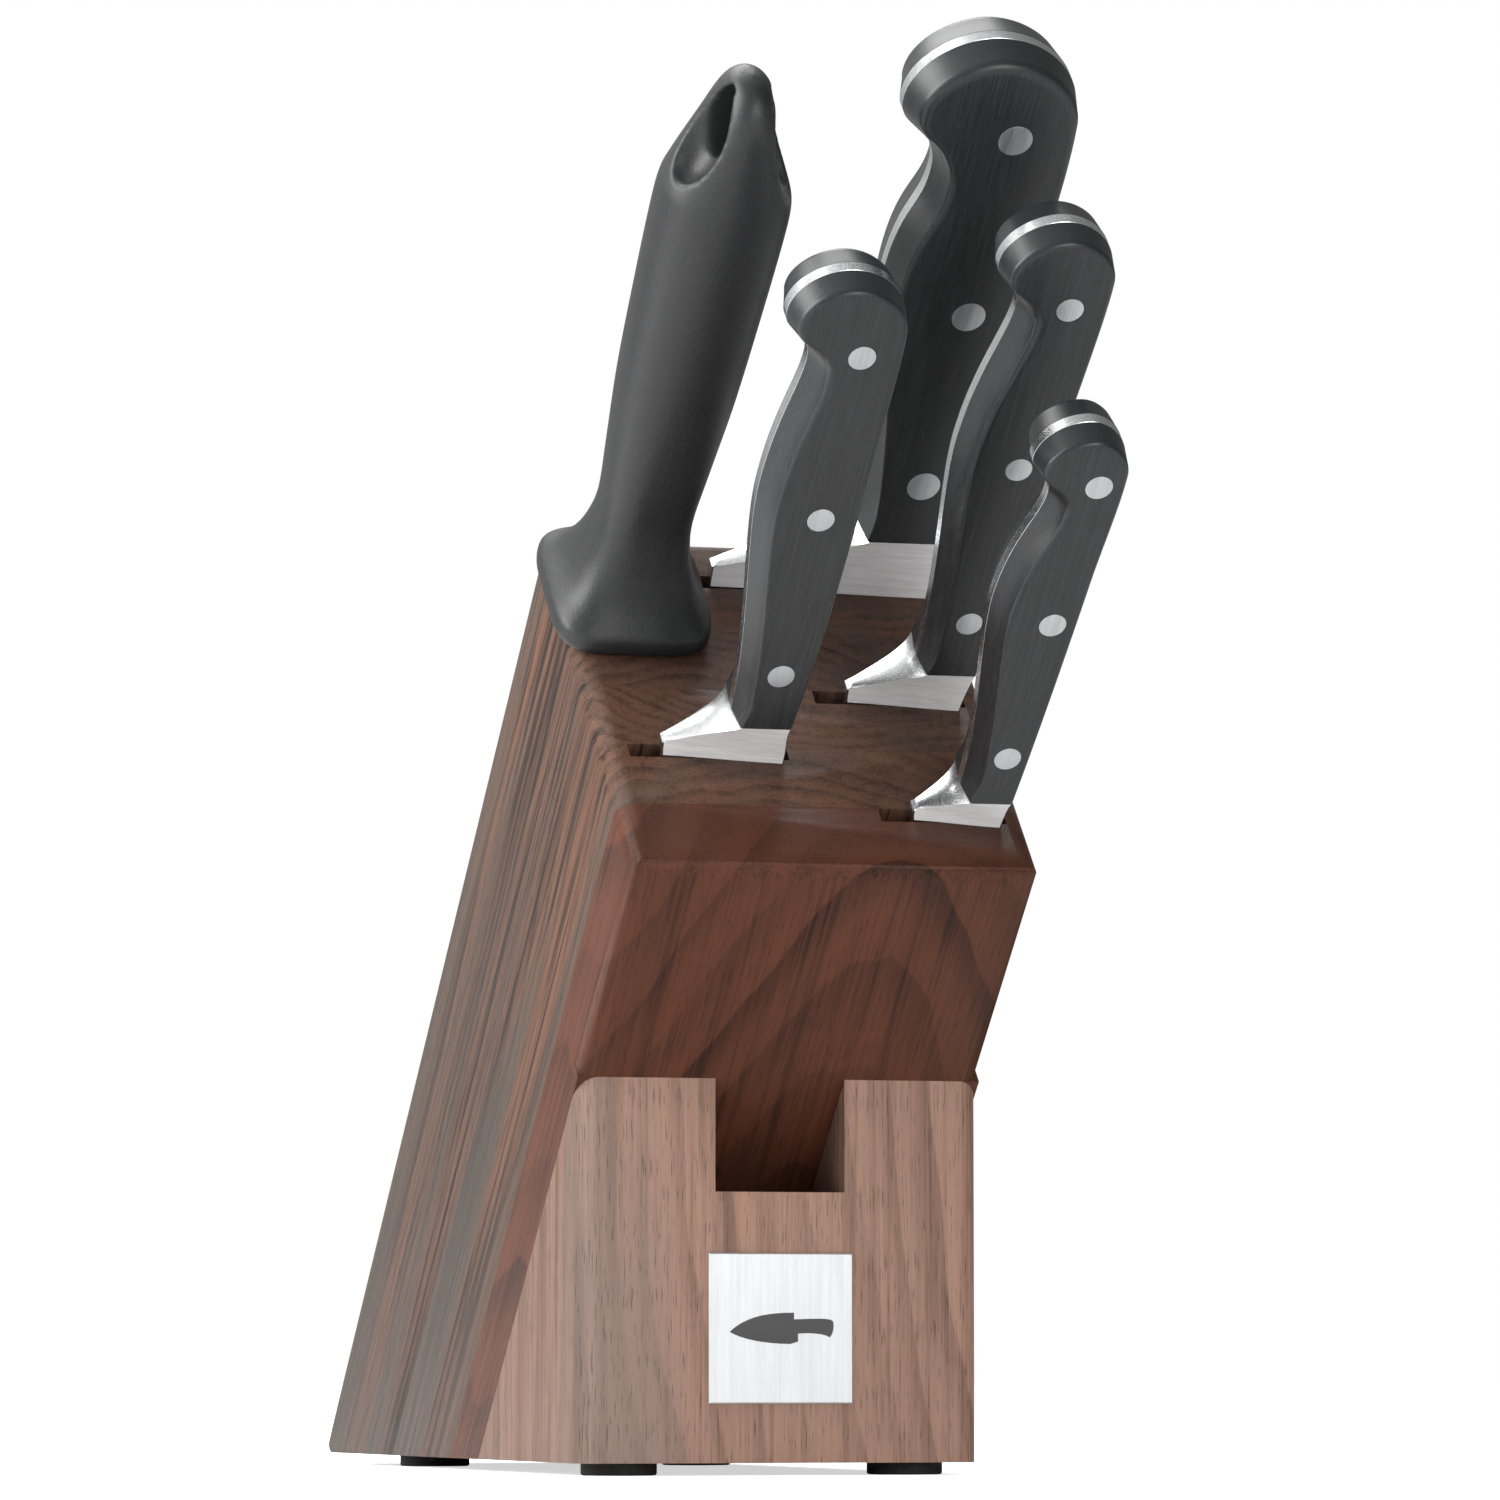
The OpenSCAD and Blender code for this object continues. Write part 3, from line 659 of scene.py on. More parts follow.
def inward_ways(points):
    """For every outline point, the step to the edge of the grip's flat face.

    The ways are blended along the outline, so that they cannot cross at the hook.
    """
    raw = []
    last = len(points) - 1
    for i in range(len(points)):
        a, b = points[max(i - 1, 0)], points[min(i + 1, last)]
        dx, dz = b[0] - a[0], b[1] - a[1]
        if i in (0, last):
            dx = 0.0
        size = math.hypot(dx, dz) or 1.0
        raw.append((-dz / size, dx / size))
    # Millimetres over which neighbouring ways are blended
    reach = 2.2
    ways = []
    for i, (x, z, inset, roll) in enumerate(points):
        total_x = total_z = 0.0
        for (px, pz, *_), (nx, nz) in zip(points, raw):
            weight = math.exp(-((px - x) ** 2 + (pz - z) ** 2) / (reach * reach))
            total_x += nx * weight
            total_z += nz * weight
        size = math.hypot(total_x, total_z)
        way = (total_x / size, total_z / size)
        if i in (0, last):
            way = raw[i]
        ways.append([way[0] * (inset + roll), way[1] * (inset + roll)])
    # Where the inner line would bunch up, its steps are shortened a little at a time
    for _ in range(30):
        for i in range(1, last):
            a, b = points[i - 1], points[i + 1]
            wa, wb = ways[i - 1], ways[i + 1]
            ahead = (b[0] - a[0], b[1] - a[1])
            inner = (ahead[0] + wb[0] - wa[0], ahead[1] + wb[1] - wa[1])
            if inner[0] * ahead[0] + inner[1] * ahead[1] < 0.2 * (ahead[0] ** 2 + ahead[1] ** 2):
                for j in (i - 1, i, i + 1):
                    if 0 < j < last:
                        ways[j] = [0.9 * ways[j][0], 0.9 * ways[j][1]]
    return ways


def grip_mesh(k, side):
    """One scale: a wall that slants in from the tang, a rolled edge and a flat face."""
    outline = handle_outline(k)
    ways = inward_ways(outline)
    inner, outer = TANG_T / 2, k["half_t"]
    roll_steps = 6
    deepest_roll = 2.2
    profiles = []
    for _, _, inset, roll in outline:
        whole = inset + roll
        top = outer - min(roll, deepest_roll)
        column = [(share * inset / whole, between(inner, top, share)) for share in (0, 0.5, 1)]
        for step in range(1, roll_steps + 1):
            turn = math.radians(90.0 * step / roll_steps)
            column.append(
                ((inset + roll * (1 - math.cos(turn))) / whole,
                 top + (outer - top) * math.sin(turn))
            )
        column.append((1.12, outer))
        profiles.append(column)
    layers = len(profiles[0])
    points = []
    for layer in range(layers):
        for (x, z, _, _), way, column in zip(outline, ways, profiles):
            share, depth = column[layer]
            points.append((x + way[0] * share, k["mid_y"] + side * depth, z + way[1] * share))
    mesh = build_mesh(f"{k['name']}_grip", points, slice_faces(layers, len(outline)))
    outward(mesh)
    finish_mesh(mesh, [black_scale], sharp_deg=32)
    return mesh


def tang_parts(k):
    """The tang: the handle's outline, as thick as the gap between the scales."""
    outline = handle_outline(k)
    ways = inward_ways(outline)
    ease = 0.12
    half = TANG_T / 2
    layers = [(-half, ease), (-half + ease, 0.0), (half - ease, 0.0), (half, ease)]
    points = []
    for depth, inset in layers:
        for (x, z, _, _), way in zip(outline, ways):
            share = inset / (math.hypot(*way) or 1.0)
            points.append((x + way[0] * share, k["mid_y"] + depth, z + way[1] * share))
    faces = slice_faces(len(layers), len(outline))
    return points, faces, [POLISHED] * len(faces)


def bolster_parts(k, rows=22, columns=9):
    """The bolster: flat brushed sides that thin downwards, and a polished flare to the heel."""
    h, half_t, heel = k["bolster_h"], k["half_t"], k["heel"]
    spine_end = rivet_x(k, h) + SPINE_SHARE * k["handle_w"]
    belly_end = rivet_x(k, h) - BELLY_SHARE * k["handle_w"]
    flare = belly_end - heel
    heel_h = 0.27 * h
    rim = 0.35
    # Each belly point is x, z and half the thickness there
    belly = cubic(
        (belly_end, h, half_t), (belly_end - 0.1 * flare, 0.75 * h, 0.62 * half_t),
        (heel + 0.3 * flare, 0.48 * h, 0.30 * half_t), (heel, heel_h, HEEL_HALF_T), rows,
    )
    belly += [(heel, heel_h, HEEL_HALF_T), (heel + 0.25, 0.45 * heel_h, HEEL_HALF_T * 0.9),
              (heel + 0.5, 0.0, HEEL_HALF_T * 0.85)]
    last = len(belly) - 1
    points = []
    for j, (bx, bz, bt) in enumerate(belly):
        t = j / last
        sz = h * (1 - t)
        sx = between(spine_end, k["spine"], eased(t))
        st = between(SHOULDER_HALF_T, half_t, (1 - t) ** 1.35)
        front, back = [], []
        for i in range(columns):
            s = i / (columns - 1)
            x, z = between(bx, sx, s), between(bz, sz, s)
            thick = between(bt, st, eased(s) * 0.5 + s * 0.5)
            front.append((x, -thick, z))
            back.append((x, thick, z))
        # The belly wall slants like the grips'; the spine wall has eased edges
        slant = between(FOOT_INSET + 0.45, 0.3, eased(t))
        belly_wall = [(bx, -TANG_T / 2, bz), (bx, 0.0, bz), (bx, TANG_T / 2, bz)]
        front[0] = (bx + slant, -bt, bz)
        back[0] = (bx + slant, bt, bz)
        spine_wall = [(sx, -st + rim, sz), (sx, st - rim, sz)]
        front[-1] = (sx - rim * 0.8, -st, sz)
        back[-1] = (sx - rim * 0.8, st, sz)
        ring = front + spine_wall + back[::-1] + belly_wall[::-1]
        points += [(x, k["mid_y"] + y, z) for x, y, z in ring]
    side_marks = [BRUSHED] * (columns - 1)
    ring_marks = side_marks + [POLISHED] * 3 + side_marks + [POLISHED] * 4
    marks = ring_marks * last + [POLISHED, POLISHED]
    return points, tube_faces(last + 1, len(ring_marks)), marks


def blade_parts(k, rows=36):
    """The blade: flat ground from spine to edge, with a short honed bevel, down to the point."""
    h, length, heel, spine = k["blade_h"], k["blade_len"], k["heel"], k["spine"]
    # The spine drops to the point, and the root reaches a little into the bolster
    drop, root, heel_set_in = 0.16 * h, 0.2, 0.5
    tip_half_t, honed_w, spine_ease = 0.55, 1.2, 0.15
    points = []
    for j in range(rows + 1):
        t = j / rows
        z = root - (length + root) * t
        edge_x = heel + heel_set_in * (1 - t) + (h - drop) * t**3.2
        spine_x = spine - drop * t**5
        thick = between(BLADE_T / 2, tip_half_t, t)
        wide = spine_x - edge_x
        bevel = min(honed_w, 0.35 * wide)
        shares = [
            (0.0, 0.02), (bevel, 0.17), (bevel + 0.3 * wide, 0.55), (wide - spine_ease, 1.0),
        ]
        side = [(edge_x + dx, thick * part) for dx, part in shares]
        ring = [(x, -y) for x, y in side] + [(spine_x, -thick * 0.7), (spine_x, thick * 0.7)]
        ring += [(x, y) for x, y in reversed(side)]
        points += [(x, k["mid_y"] + y, z) for x, y in ring]
    faces = tube_faces(rows + 1, len(ring))
    return points, faces, [SATIN] * len(faces)


def forged_mesh(k):
    """Tang, bolster and blade as three closed shells in one forging."""
    points, faces, marks = [], [], []
    for part in (tang_parts(k), bolster_parts(k), blade_parts(k)):
        start = len(points)
        points += part[0]
        faces += [tuple(start + i for i in face) for face in part[1]]
        marks += part[2]
    mesh = build_mesh(f"{k['name']}_forging", points, faces, marks)
    outward(mesh, merge=False)
    finish_mesh(mesh, [forged_polish, forged_brushed, blade_satin], sharp_deg=28)
    return mesh


def lathe_mesh(name, profile, segments, start=(0, 0, 0), axis="Z"):
    """A closed turned shape. profile lists radius and height from one pole to the other."""
    points = []
    for radius, height in profile:
        for i in range(segments):
            turn = 2 * math.pi * i / segments
            points.append((radius * math.cos(turn), radius * math.sin(turn), height))
    mesh = build_mesh(name, points, tube_faces(len(profile), segments))
    if axis == "Y":
        mesh.transform(Matrix.Rotation(math.radians(90), 4, "X"))
    mesh.transform(Matrix.Translation(start))
    outward(mesh)
    return mesh


def row_tree():
    """Geometry Nodes: copies of one part in a straight row, made real."""
    tree = bpy.data.node_groups.new("part_row", "GeometryNodeTree")
    tree.interface.new_socket("Geometry", in_out="INPUT", socket_type="NodeSocketGeometry")
    for name, kind in (
        ("Part", "Object"), ("Count", "Int"), ("First", "Vector"), ("Step", "Vector"),
        ("Material", "Material"),
    ):
        tree.interface.new_socket(name, in_out="INPUT", socket_type="NodeSocket" + kind)
    tree.interface.new_socket("Geometry", in_out="OUTPUT", socket_type="NodeSocketGeometry")
    n = Nodes(tree)
    start = n.add("NodeGroupInput").outputs
    line = n.add("GeometryNodeMeshLine", mode="OFFSET")
    n.give(line.inputs["Count"], start["Count"])
    n.give(line.inputs["Start Location"], start["First"])
    n.give(line.inputs["Offset"], start["Step"])
    part = n.add("GeometryNodeObjectInfo", {"Object": start["Part"]})
    copies = n.add(
        "GeometryNodeInstanceOnPoints",
        {"Points": line.outputs["Mesh"], "Instance": part.outputs["Geometry"]},
    )
    real = n.add("GeometryNodeRealizeInstances", {"Geometry": copies.outputs["Instances"]})
    painted = n.add(
        "GeometryNodeSetMaterial",
        {"Geometry": real.outputs["Geometry"], "Material": start["Material"]},
    )
    n.give(n.add("NodeGroupOutput").inputs["Geometry"], painted.outputs["Geometry"])
    return tree


PART_ROW = row_tree()


def row_mesh(name, part_mesh, count, first, step, material):
    """Runs the row tree on one part and returns the result as a plain mesh."""
    part = bpy.data.objects.new(name + "_part", part_mesh)
    holder = bpy.data.objects.new(name + "_holder", bpy.data.meshes.new(name + "_holder"))
    for thing in (part, holder):
        bpy.context.scene.collection.objects.link(thing)
    row = holder.modifiers.new("row", "NODES")
    row.node_group = PART_ROW
    sockets = {s.name: s.identifier for s in PART_ROW.interface.items_tree if s.in_out == "INPUT"}
    for socket, value in (
        ("Part", part), ("Count", count), ("First", first), ("Step", step),
        ("Material", material),
    ):
        row[sockets[socket]] = value
    bpy.context.view_layer.update()
    made = bpy.data.meshes.new_from_object(
        holder.evaluated_get(bpy.context.evaluated_depsgraph_get())
    )
    holder.modifiers.remove(row)
    bpy.data.objects.remove(holder)
    bpy.data.objects.remove(part)
    made.name = name
    return made


def rivet_profile(radius, half_length):
    """A flush rivet: a slightly domed head at each end and a hair of a rim."""
    dome = 0.10
    head = [(radius * r, half_length + dome * (1 - r * r)) for r in (0.02, 0.35, 0.65, 0.88)]
    rim = [(radius * 0.975, half_length + 0.015), (radius, half_length - 0.05)]
    top = head + rim
    return top + [(r, -z) for r, z in reversed(top)]


def rivets_mesh(k):
    stud = lathe_mesh(
        k["name"] + "_rivet", rivet_profile(k["rivet_d"] / 2, k["half_t"]), 40, axis="Y"
    )
    low = k["rivet_z"] - k["pitch"]
    first = Vector((rivet_x(k, low), k["mid_y"], low))
    step = Vector((rivet_x(k, low + k["pitch"]) - first.x, 0, k["pitch"]))
    mesh = row_mesh(k["name"] + "_rivet_row", stud, 3, first, step, rivet_steel)
    finish_mesh(mesh, [], sharp_deg=30)
    return mesh


def add_knife(name):
    k = measure(name)
    body = name + "_knife"
    add_piece(f"{name}_forging", forged_mesh(k), body, [f"{name}_blade"])
    for side, word in ((-1, "front"), (1, "back")):
        node = f"{name}_{word}_scale"
        add_piece(f"{name}_{word}_grip", grip_mesh(k, side), body, [node])
    add_piece(f"{name}_rivet_row", rivets_mesh(k), body, [f"{name}_rivets"])


# ---- Sharpening steel ----

rod_lo, rod_hi = (Vector(c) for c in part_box("steel_rod"))
STEEL_X = (rod_lo.x + rod_hi.x) / 2 / MM
STEEL_Y = 4.5 * BOARD_T
ROD_R = (rod_hi.x - rod_lo.x) / 2 / MM
ROD_LEN = 205.0
HANDLE_LEN = 131.0
LOOP_R = 10.5
EYE_Z = HANDLE_LEN - LOOP_R + 0.3


def rounded_ring(z, half_x, half_y, power, count=72):
    """A ring between an oval (power 2) and a rounded square (power 5)."""
    ring = []
    for i in range(count):
        turn = 2 * math.pi * (i + 0.5) / count
        c, s = math.cos(turn), math.sin(turn)
        reach = (abs(c) ** power + abs(s) ** power) ** (-1 / power)
        ring.append((STEEL_X + half_x * reach * c, STEEL_Y + half_y * reach * s, z))
    return ring


def smooth_sections(keys, steps):
    """Catmull-Rom sections through the key sections (z, half x, half y, power)."""
    made = []
    for i in range(len(keys) - 1):
        a, b = keys[max(i - 1, 0)], keys[i]
        c, d = keys[i + 1], keys[min(i + 2, len(keys) - 1)]
        for step in range(steps):
            t = step / steps
            made.append(
                tuple(
                    0.5 * (2 * b[j] + (c[j] - a[j]) * t
                           + (2 * a[j] - 5 * b[j] + 4 * c[j] - d[j]) * t * t
                           + (3 * b[j] - a[j] - 3 * c[j] + d[j]) * t**3)
                    for j in range(4)
                )
            )
    made.append(keys[-1])
    return made


def loft_mesh(name, sections):
    """A closed skin over sections of z, half x, half y and squareness."""
    points = [q for section in sections for q in rounded_ring(*section)]
    mesh = build_mesh(name, points, tube_faces(len(sections), len(points) // len(sections)))
    outward(mesh)
    return mesh


def ball_mesh(name, centre, radii, rings=24, segments=36):
    """An egg with three radii. Its poles stay open by a hair, for their small caps."""
    cap = 0.02
    profile = []
    for j in range(rings + 1):
        turn = math.pi * (j + cap * (j == 0) - cap * (j == rings)) / rings
        profile.append((math.sin(turn), math.cos(turn)))
    mesh = lathe_mesh(name, profile, segments)
    mesh.transform(Matrix.Diagonal((*radii, 1)))
    mesh.transform(Matrix.Translation(centre))
    return mesh


def disc_mesh(name, centre, radius_y, radius_z, half_x, edge):
    """An oval disc lying across x, with a rounded rim."""
    rim = edge / radius_y
    profile = [(0.02, half_x), (1 - rim, half_x)]
    for step in range(1, 7):
        turn = math.radians(90 * step / 6)
        profile.append((1 - rim + rim * math.sin(turn), half_x - edge * (1 - math.cos(turn))))
    profile += [(r, -h) for r, h in reversed(profile)]
    mesh = lathe_mesh(name, profile, 64)
    mesh.transform(Matrix.Rotation(math.radians(90), 4, "Y"))
    mesh.transform(Matrix.Diagonal((1, radius_y, radius_z, 1)))
    mesh.transform(Matrix.Translation(centre))
    return mesh


def carve(name, body, cutters, voxel, smoothing):
    """Cuts closed shells away from a body and melts the result into one smooth skin."""
    things = []
    for i, mesh in enumerate([body] + cutters):
        thing = bpy.data.objects.new(f"{name}_{i}", mesh)
        bpy.context.scene.collection.objects.link(thing)
        things.append(thing)
    base = things[0]
    for cutter in things[1:]:
        cut = base.modifiers.new("cut", "BOOLEAN")
        cut.operation = "DIFFERENCE"
        cut.solver = "EXACT"
        cut.object = cutter
    skin = base.modifiers.new("skin", "REMESH")
    skin.mode = "VOXEL"
    skin.voxel_size = voxel
    skin.use_smooth_shade = True
    relax = base.modifiers.new("relax", "SMOOTH")
    relax.factor = 0.5
    relax.iterations = smoothing
    bpy.context.view_layer.update()
    made = bpy.data.meshes.new_from_object(
        base.evaluated_get(bpy.context.evaluated_depsgraph_get())
    )
    base.modifiers.clear()
    for thing in things:
        bpy.data.objects.remove(thing)
    made.name = name
    return made


# The handle's cross sections from the guard up: z, half x, half y, squareness
GRIP_SECTIONS = [
    # guard
    (0.0, 15.6, 17.1, 4.6), (0.7, 16.4, 17.9, 4.6), (3.8, 16.5, 18.0, 4.6),
    (5.2, 15.8, 17.2, 4.4), (8.0, 13.6, 14.6, 4.0), (11.5, 11.9, 12.4, 3.6),
    # waist and grip
    (17.0, 10.3, 10.7, 3.2), (25.0, 9.4, 9.6, 2.9), (38.0, 10.4, 10.5, 2.6),
    (57.0, 11.9, 11.9, 2.4), (80.0, 12.8, 12.8, 2.3), (97.0, 13.2, 13.1, 2.3),
    # shoulder and loop
    (104.0, 13.0, 13.0, 2.3), (107.5, 12.0, 12.7, 2.3), (112.5, 10.2, 12.1, 2.3),
    (118.0, 8.2, 11.0, 2.3), (122.5, 6.6, 10.2, 2.3), (126.0, 5.5, 8.9, 2.2),
    (128.6, 4.3, 7.0, 2.1), (130.3, 2.8, 4.4, 2.0), (HANDLE_LEN, 0.6, 1.0, 2.0),
]


def steel_handle_mesh():
    """The moulded handle: an eye through the loop, with a dish beside it on either side."""
    body = loft_mesh("steel_grip_body", smooth_sections(GRIP_SECTIONS, 4))
    eye = disc_mesh("steel_eye", (STEEL_X, STEEL_Y - 1.2, EYE_Z), 4.0, 8.0, 20.0, 0.2)
    dishes = [
        ball_mesh(
            f"steel_dish_{i}", (STEEL_X + side * 10.4, STEEL_Y - 3.0, EYE_Z - 0.6),
            (6.9, 7.4, 12.6),
        )
        for i, side in enumerate((-1, 1))
    ]
    mesh = carve("steel_grip", body, [eye] + dishes, voxel=0.5, smoothing=16)
    finish_mesh(mesh, [handle_plastic], sharp_deg=60)
    return mesh


def rod_mesh(ridges=60):
    """The rod: fine ridges run down it, and its tip is bevelled."""
    count = ridges * 2
    groove = 0.16
    stations = [(-ROD_LEN, 0.72), (-ROD_LEN + 1.5, 1.0), (-8.0, 1.0), (-7.4, 0.93), (3.0, 0.93)]
    points = []
    for z, share in stations:
        ridged = share == 1.0
        for i in range(count):
            turn = 2 * math.pi * i / count
            radius = ROD_R * share - (groove if ridged and i % 2 else 0.0)
            points.append(
                (STEEL_X + radius * math.cos(turn), STEEL_Y + radius * math.sin(turn), z)
            )
    mesh = build_mesh("steel_rod_ridged", points, tube_faces(len(stations), count))
    outward(mesh)
    finish_mesh(mesh, [rod_steel], sharp_deg=35)
    return mesh


def add_steel():
    add_piece("ridged_rod", rod_mesh(), "sharpening_steel", ["steel_rod"])
    add_piece(
        "steel_grip", steel_handle_mesh(), "sharpening_steel",
        ["steel_handle"],
    )


# ---- Block ----


# The top face's outer edges are eased by this much; seams and slots stay crisp
EASE = 1.3
EDGE_R = 4.3
HALF_W = 42.0
STACK_T = 5 * BOARD_T + BACK_BOARD_T


def on_top_rim(spot):
    """Whether a corner point lies on the outer rim of the block's top face."""
    dx = max(abs(spot.x) - (HALF_W - EDGE_R), 0.0)
    dy = max(EDGE_R - spot.y, spot.y - (STACK_T - EDGE_R), 0.0)
    if dx > 0 and dy > 0:
        outside = math.hypot(dx, dy) > EDGE_R - 0.05
    else:
        outside = dx > EDGE_R - 0.05 or dy > EDGE_R - 0.05
    return abs(spot.z) < 0.05 and outside


def on_seam(spots, edge):
    """Whether an edge runs along the joint between two boards."""
    a, b = (spots[v] for v in edge.verts)
    return abs(a.y - b.y) < 0.01 and EDGE_R < a.y < STACK_T - EDGE_R


def clean_copy(node):
    """A merged copy of a CAD node's mesh, its flat faces whole and its corners crisp."""
    source = frame["nodes"][node]
    mesh = source.data.copy()
    mesh.transform(source.matrix_world)
    mesh.materials.clear()
    work = bmesh.new()
    work.from_mesh(mesh)
    bmesh.ops.remove_doubles(work, verts=work.verts, dist=1e-6)
    bmesh.ops.dissolve_limit(
        work, angle_limit=math.radians(0.5), verts=work.verts, edges=work.edges
    )
    bmesh.ops.recalc_face_normals(work, faces=work.faces)
    into_stack = STACK.inverted()
    spots = {v: into_stack @ v.co for v in work.verts}
    rim = [
        e for e in work.edges
        if all(on_top_rim(spots[v]) for v in e.verts) and not on_seam(spots, e)
    ]
    if rim:
        bmesh.ops.bevel(
            work, geom=rim, offset=EASE * MM, segments=3, profile=0.5, affect="EDGES"
        )
    for face in work.faces:
        face.material_index = 0
    work.to_mesh(mesh)
    work.free()
    return mesh


def add_boards():
    for word, wood in BOARD_WOODS.items():
        mesh = clean_copy(f"{word}_board")
        finish_mesh(mesh, [walnut(f"walnut_{word}", **wood)], Matrix.Identity(4), 25)
        add_piece(f"{word}_plank", mesh, "block", [f"{word}_board"])
    mesh = clean_copy("support")
    finish_mesh(mesh, [walnut("walnut_support", **SUPPORT_WOOD)], Matrix.Identity(4), 25)
    add_piece("support_wedge", mesh, "block", ["support"])


def slab_mesh(name, x, z, w, h, y_back, thick, ease):
    """An upright slab facing the front, with eased front edges."""
    points = []
    for inset, y in ((0.0, y_back), (0.0, y_back - thick + ease), (ease, y_back - thick)):
        hw, hh = w / 2 - inset, h / 2 - inset
        points += [
            (x - hw, y, z - hh), (x + hw, y, z - hh), (x + hw, y, z + hh), (x - hw, y, z + hh),
        ]
    mesh = build_mesh(name, points, tube_faces(3, 4))
    outward(mesh)
    return mesh


def knife_outline():
    """A plain knife lying on its side: point at the left, handle at the right."""
    blade = cubic((-9.0, -0.6), (-6.5, 1.6), (-3.5, 2.6), (2.2, 2.6), 10)
    knife = blade + [(2.2, 2.6), (2.2, 1.5)]
    knife += cubic((2.2, 1.5), (4.5, 1.5), (8.6, 1.9), (9.0, 1.2), 6)
    knife += cubic((9.0, 1.2), (9.3, 0.2), (8.9, -1.2), (8.4, -1.5), 6)
    knife += cubic((8.4, -1.5), (7.4, -0.8), (4.5, -0.7), (2.9, -0.9), 6)
    knife += [(2.9, -0.9), (2.9, -2.2), (1.6, -2.6)]
    knife += cubic((1.6, -2.6), (-3.0, -2.6), (-7.0, -1.8), (-9.0, -0.6), 8)
    return knife


def add_plate():
    """The plate is blank but for a plain knife pictogram, inlaid in black."""
    lo, hi = (Vector(c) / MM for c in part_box("name_plate"))
    mid = (lo + hi) / 2
    size = hi.x - lo.x
    mesh = slab_mesh("plate", mid.x, mid.z, size, size, hi.y, hi.y - lo.y, 0.25)
    finish_mesh(mesh, [plate_steel], Matrix.Scale(MM, 4), 20)
    add_piece("plain_plate", mesh, "block", ["name_plate"])
    mark_scale, proud, sunk = 1.2, 0.04, 0.1
    knife = knife_outline()
    points = []
    for y in (lo.y - proud, lo.y + sunk):
        points += [(mid.x + mark_scale * x, y, mid.z + mark_scale * z) for x, z in knife]
    mark = build_mesh("plate_mark", points, tube_faces(2, len(knife)))
    outward(mark)
    finish_mesh(mark, [mark_black], Matrix.Scale(MM, 4), 20)
    add_piece("plate_mark", mark, "block", ["name_plate"])


def add_feet():
    for word in ("front_left", "front_right", "rear_left", "rear_right"):
        lo, hi = (Vector(c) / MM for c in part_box(word + "_foot"))
        radius, height = (hi.x - lo.x) / 2, hi.z - lo.z
        # Radius and height from the middle of the underside round to the middle of the top
        profile = [
            (0.05, 0.0), (radius - 1.5, 0.0), (radius - 0.5, 0.0), (radius - 0.12, 0.14),
            (radius, 0.5), (radius, height - 0.1), (0.05, height - 0.1),
        ]
        mesh = lathe_mesh(
            word + "_pad", profile, 64, ((lo.x + hi.x) / 2, (lo.y + hi.y) / 2, lo.z)
        )
        finish_mesh(mesh, [foot_rubber], Matrix.Scale(MM, 4), 40)
        add_piece(word + "_pad", mesh, "block", [word + "_foot"])


# ---- Stage, lights and camera ----


def add_stage():
    """A plain pale floor. Its reflections are dimmed, as on a small light table."""
    material = bpy.data.materials.new("pale_floor")
    material.use_nodes = True
    n = Nodes(material.node_tree)
    material.node_tree.nodes.remove(material.node_tree.nodes["Principled BSDF"])
    pale = n.add("ShaderNodeBsdfDiffuse", {"Color": (0.90, 0.90, 0.90, 1)})
    glow = n.add("ShaderNodeEmission", {"Color": (1, 1, 1, 1), "Strength": 0.62})
    seen = n.add("ShaderNodeAddShader", {0: pale.outputs[0], 1: glow.outputs[0]})
    felt = n.add("ShaderNodeBsdfDiffuse", {"Color": (0.85, 0.85, 0.855, 1)})
    by_camera = n.add("ShaderNodeLightPath").outputs["Is Camera Ray"]
    both = n.add("ShaderNodeMixShader", {0: by_camera, 1: felt.outputs[0], 2: seen.outputs[0]})
    n.give(material.node_tree.nodes["Material Output"].inputs["Surface"], both.outputs[0])
    reach = 14.0
    mesh = build_mesh(
        "floor", [(-reach, -reach, 0), (reach, -reach, 0), (reach, reach, 0), (-reach, reach, 0)],
        [(0, 1, 2, 3)],
    )
    mesh.materials.append(material)
    floor = bpy.data.objects.new("floor", mesh)
    bpy.context.scene.collection.objects.link(floor)


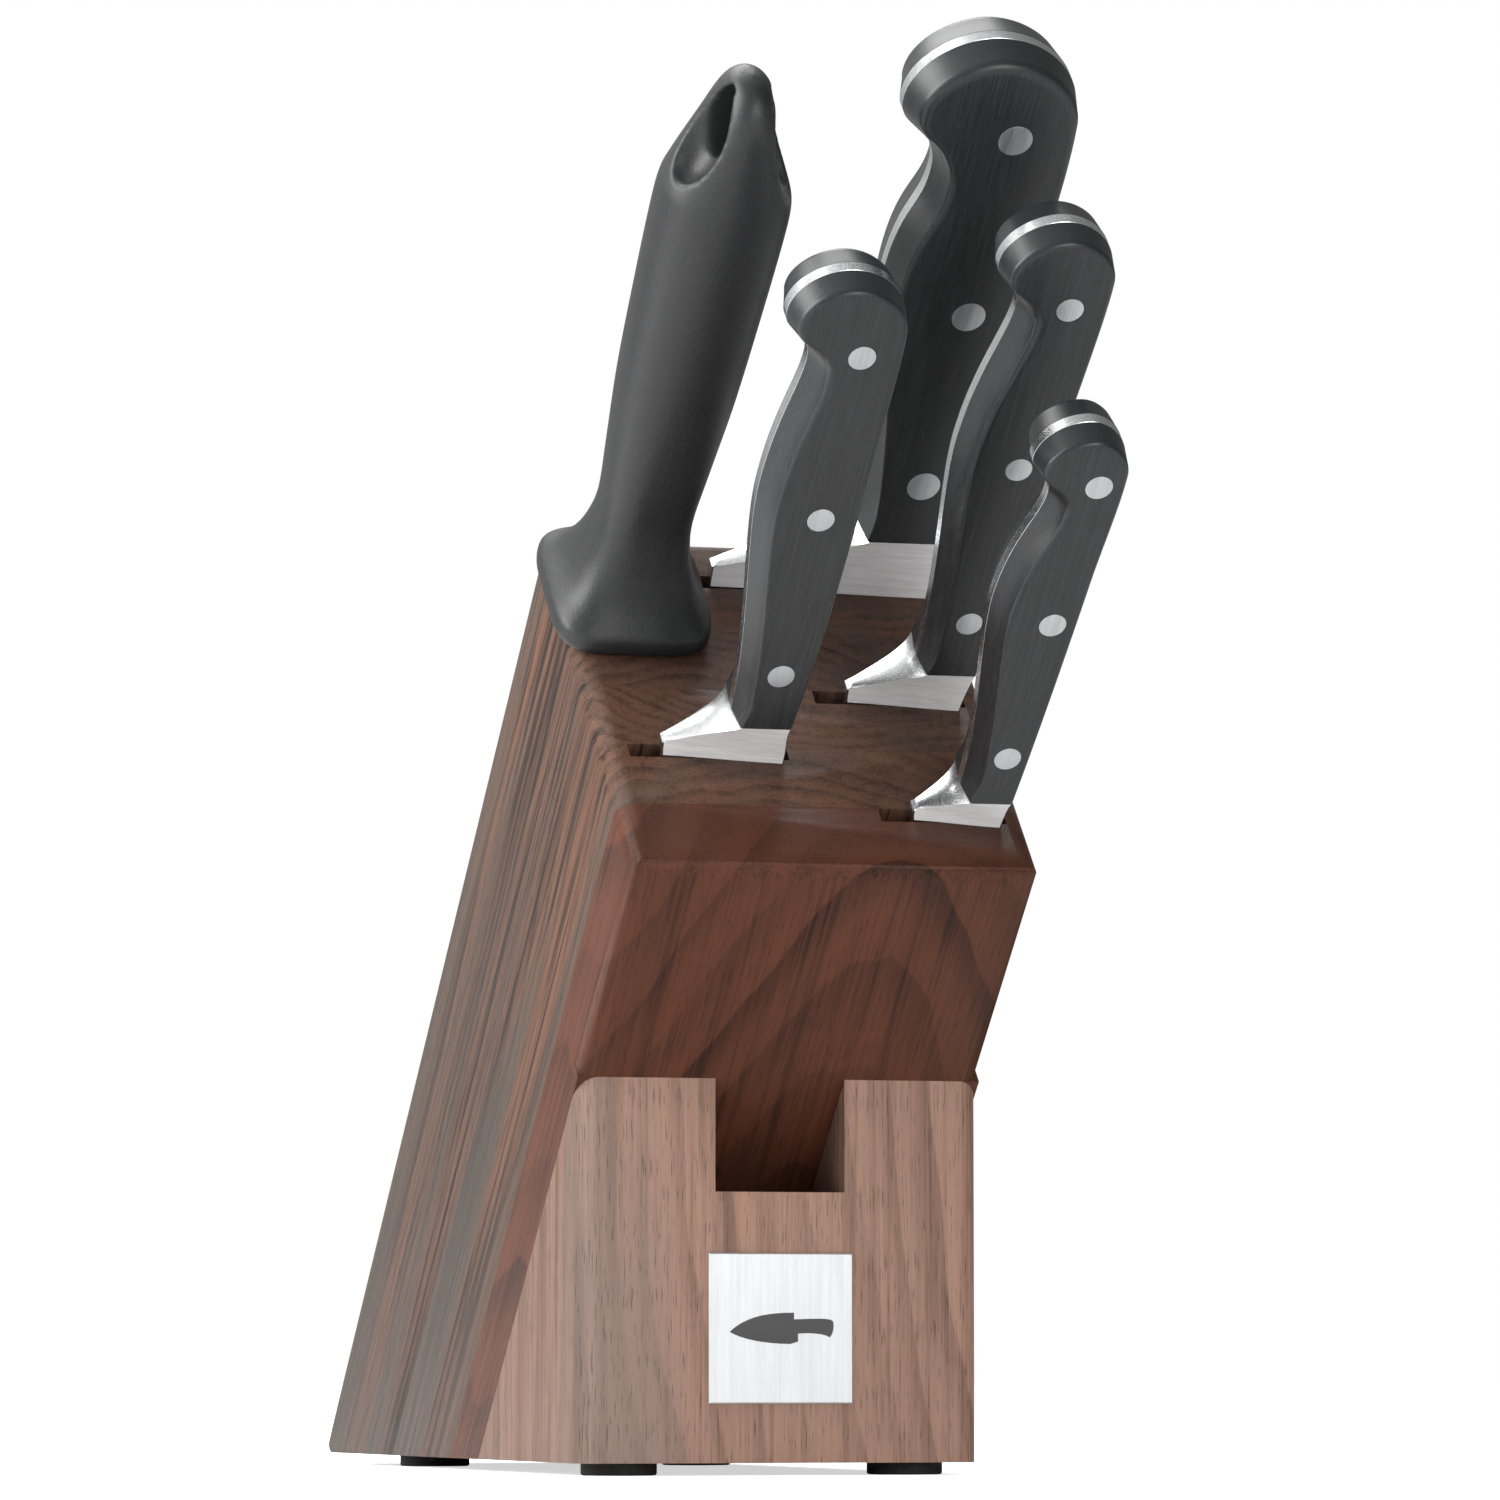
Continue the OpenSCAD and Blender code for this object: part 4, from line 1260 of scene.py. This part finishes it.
def add_world():
    """White to the camera; to the object a sky brighter above and to the left."""
    world = bpy.data.worlds.new("studio")
    bpy.context.scene.world = world
    world.use_nodes = True
    n = Nodes(world.node_tree)
    background = world.node_tree.nodes["Background"]
    where = n.add("ShaderNodeTexCoord").outputs["Generated"]
    way = n.add("ShaderNodeSeparateXYZ", {"Vector": where})
    high = n.ramp(way.outputs["Z"], -0.3, 0.9, 0.30, 0.62)
    left = n.ramp(way.outputs["X"], 0.9, -0.9, 0.34, 1.7)
    sky = n.math("MULTIPLY", high, left)
    by_camera = n.add("ShaderNodeLightPath").outputs["Is Camera Ray"]
    strength = n.math("MAXIMUM", sky, by_camera)
    n.give(background.inputs["Strength"], strength)
    background.inputs["Color"].default_value = (1, 1, 1, 1)


def add_softbox(name, place, aim, width, height, power):
    """A rectangular lamp, in metres and watts, turned to the point it is aimed at."""
    data = bpy.data.lights.new(name, "AREA")
    data.shape = "RECTANGLE"
    data.size, data.size_y = width, height
    data.energy = power
    lamp = bpy.data.objects.new(name, data)
    lamp.location = place
    lamp.rotation_euler = (Vector(aim) - Vector(place)).to_track_quat("-Z", "Y").to_euler()
    bpy.context.scene.collection.objects.link(lamp)


def add_lights():
    aim = (0, 0, 0.12)
    add_softbox("left_softbox", (-1.2, -0.10, 0.70), aim, 0.8, 1.0, 30)
    add_softbox("front_softbox", (0.25, -1.6, 0.35), aim, 0.7, 0.5, 11)
    add_softbox("top_softbox", (-0.1, 0.45, 1.2), aim, 0.9, 0.6, 12)


VIEW_TURN = math.radians(16.501)
VIEW_RISE = math.radians(5.103)
VIEW_DISTANCE = 1.4078


def add_camera():
    """Low at the front left, looking slightly up at the middle of the object."""
    data = bpy.data.cameras.new("camera")
    data.sensor_width = 36
    data.lens = 168
    data.clip_start, data.clip_end = 0.05, 30
    ahead = Vector(
        (
            math.sin(VIEW_TURN) * math.cos(VIEW_RISE),
            math.cos(VIEW_TURN) * math.cos(VIEW_RISE),
            math.sin(VIEW_RISE),
        )
    )
    target = Vector((-6.3 * MM, FRONT_Y, UNDER_Z + 142.7 * MM))
    camera = bpy.data.objects.new("camera", data)
    camera.location = target - ahead * VIEW_DISTANCE
    camera.rotation_euler = ahead.to_track_quat("-Z", "Y").to_euler()
    bpy.context.scene.collection.objects.link(camera)
    bpy.context.scene.camera = camera


bpy.context.scene.view_settings.view_transform = "Standard"
add_camera()
add_stage()
add_world()
add_lights()
add_boards()
add_plate()
add_feet()
for knife in KNIVES:
    add_knife(knife)
add_steel()
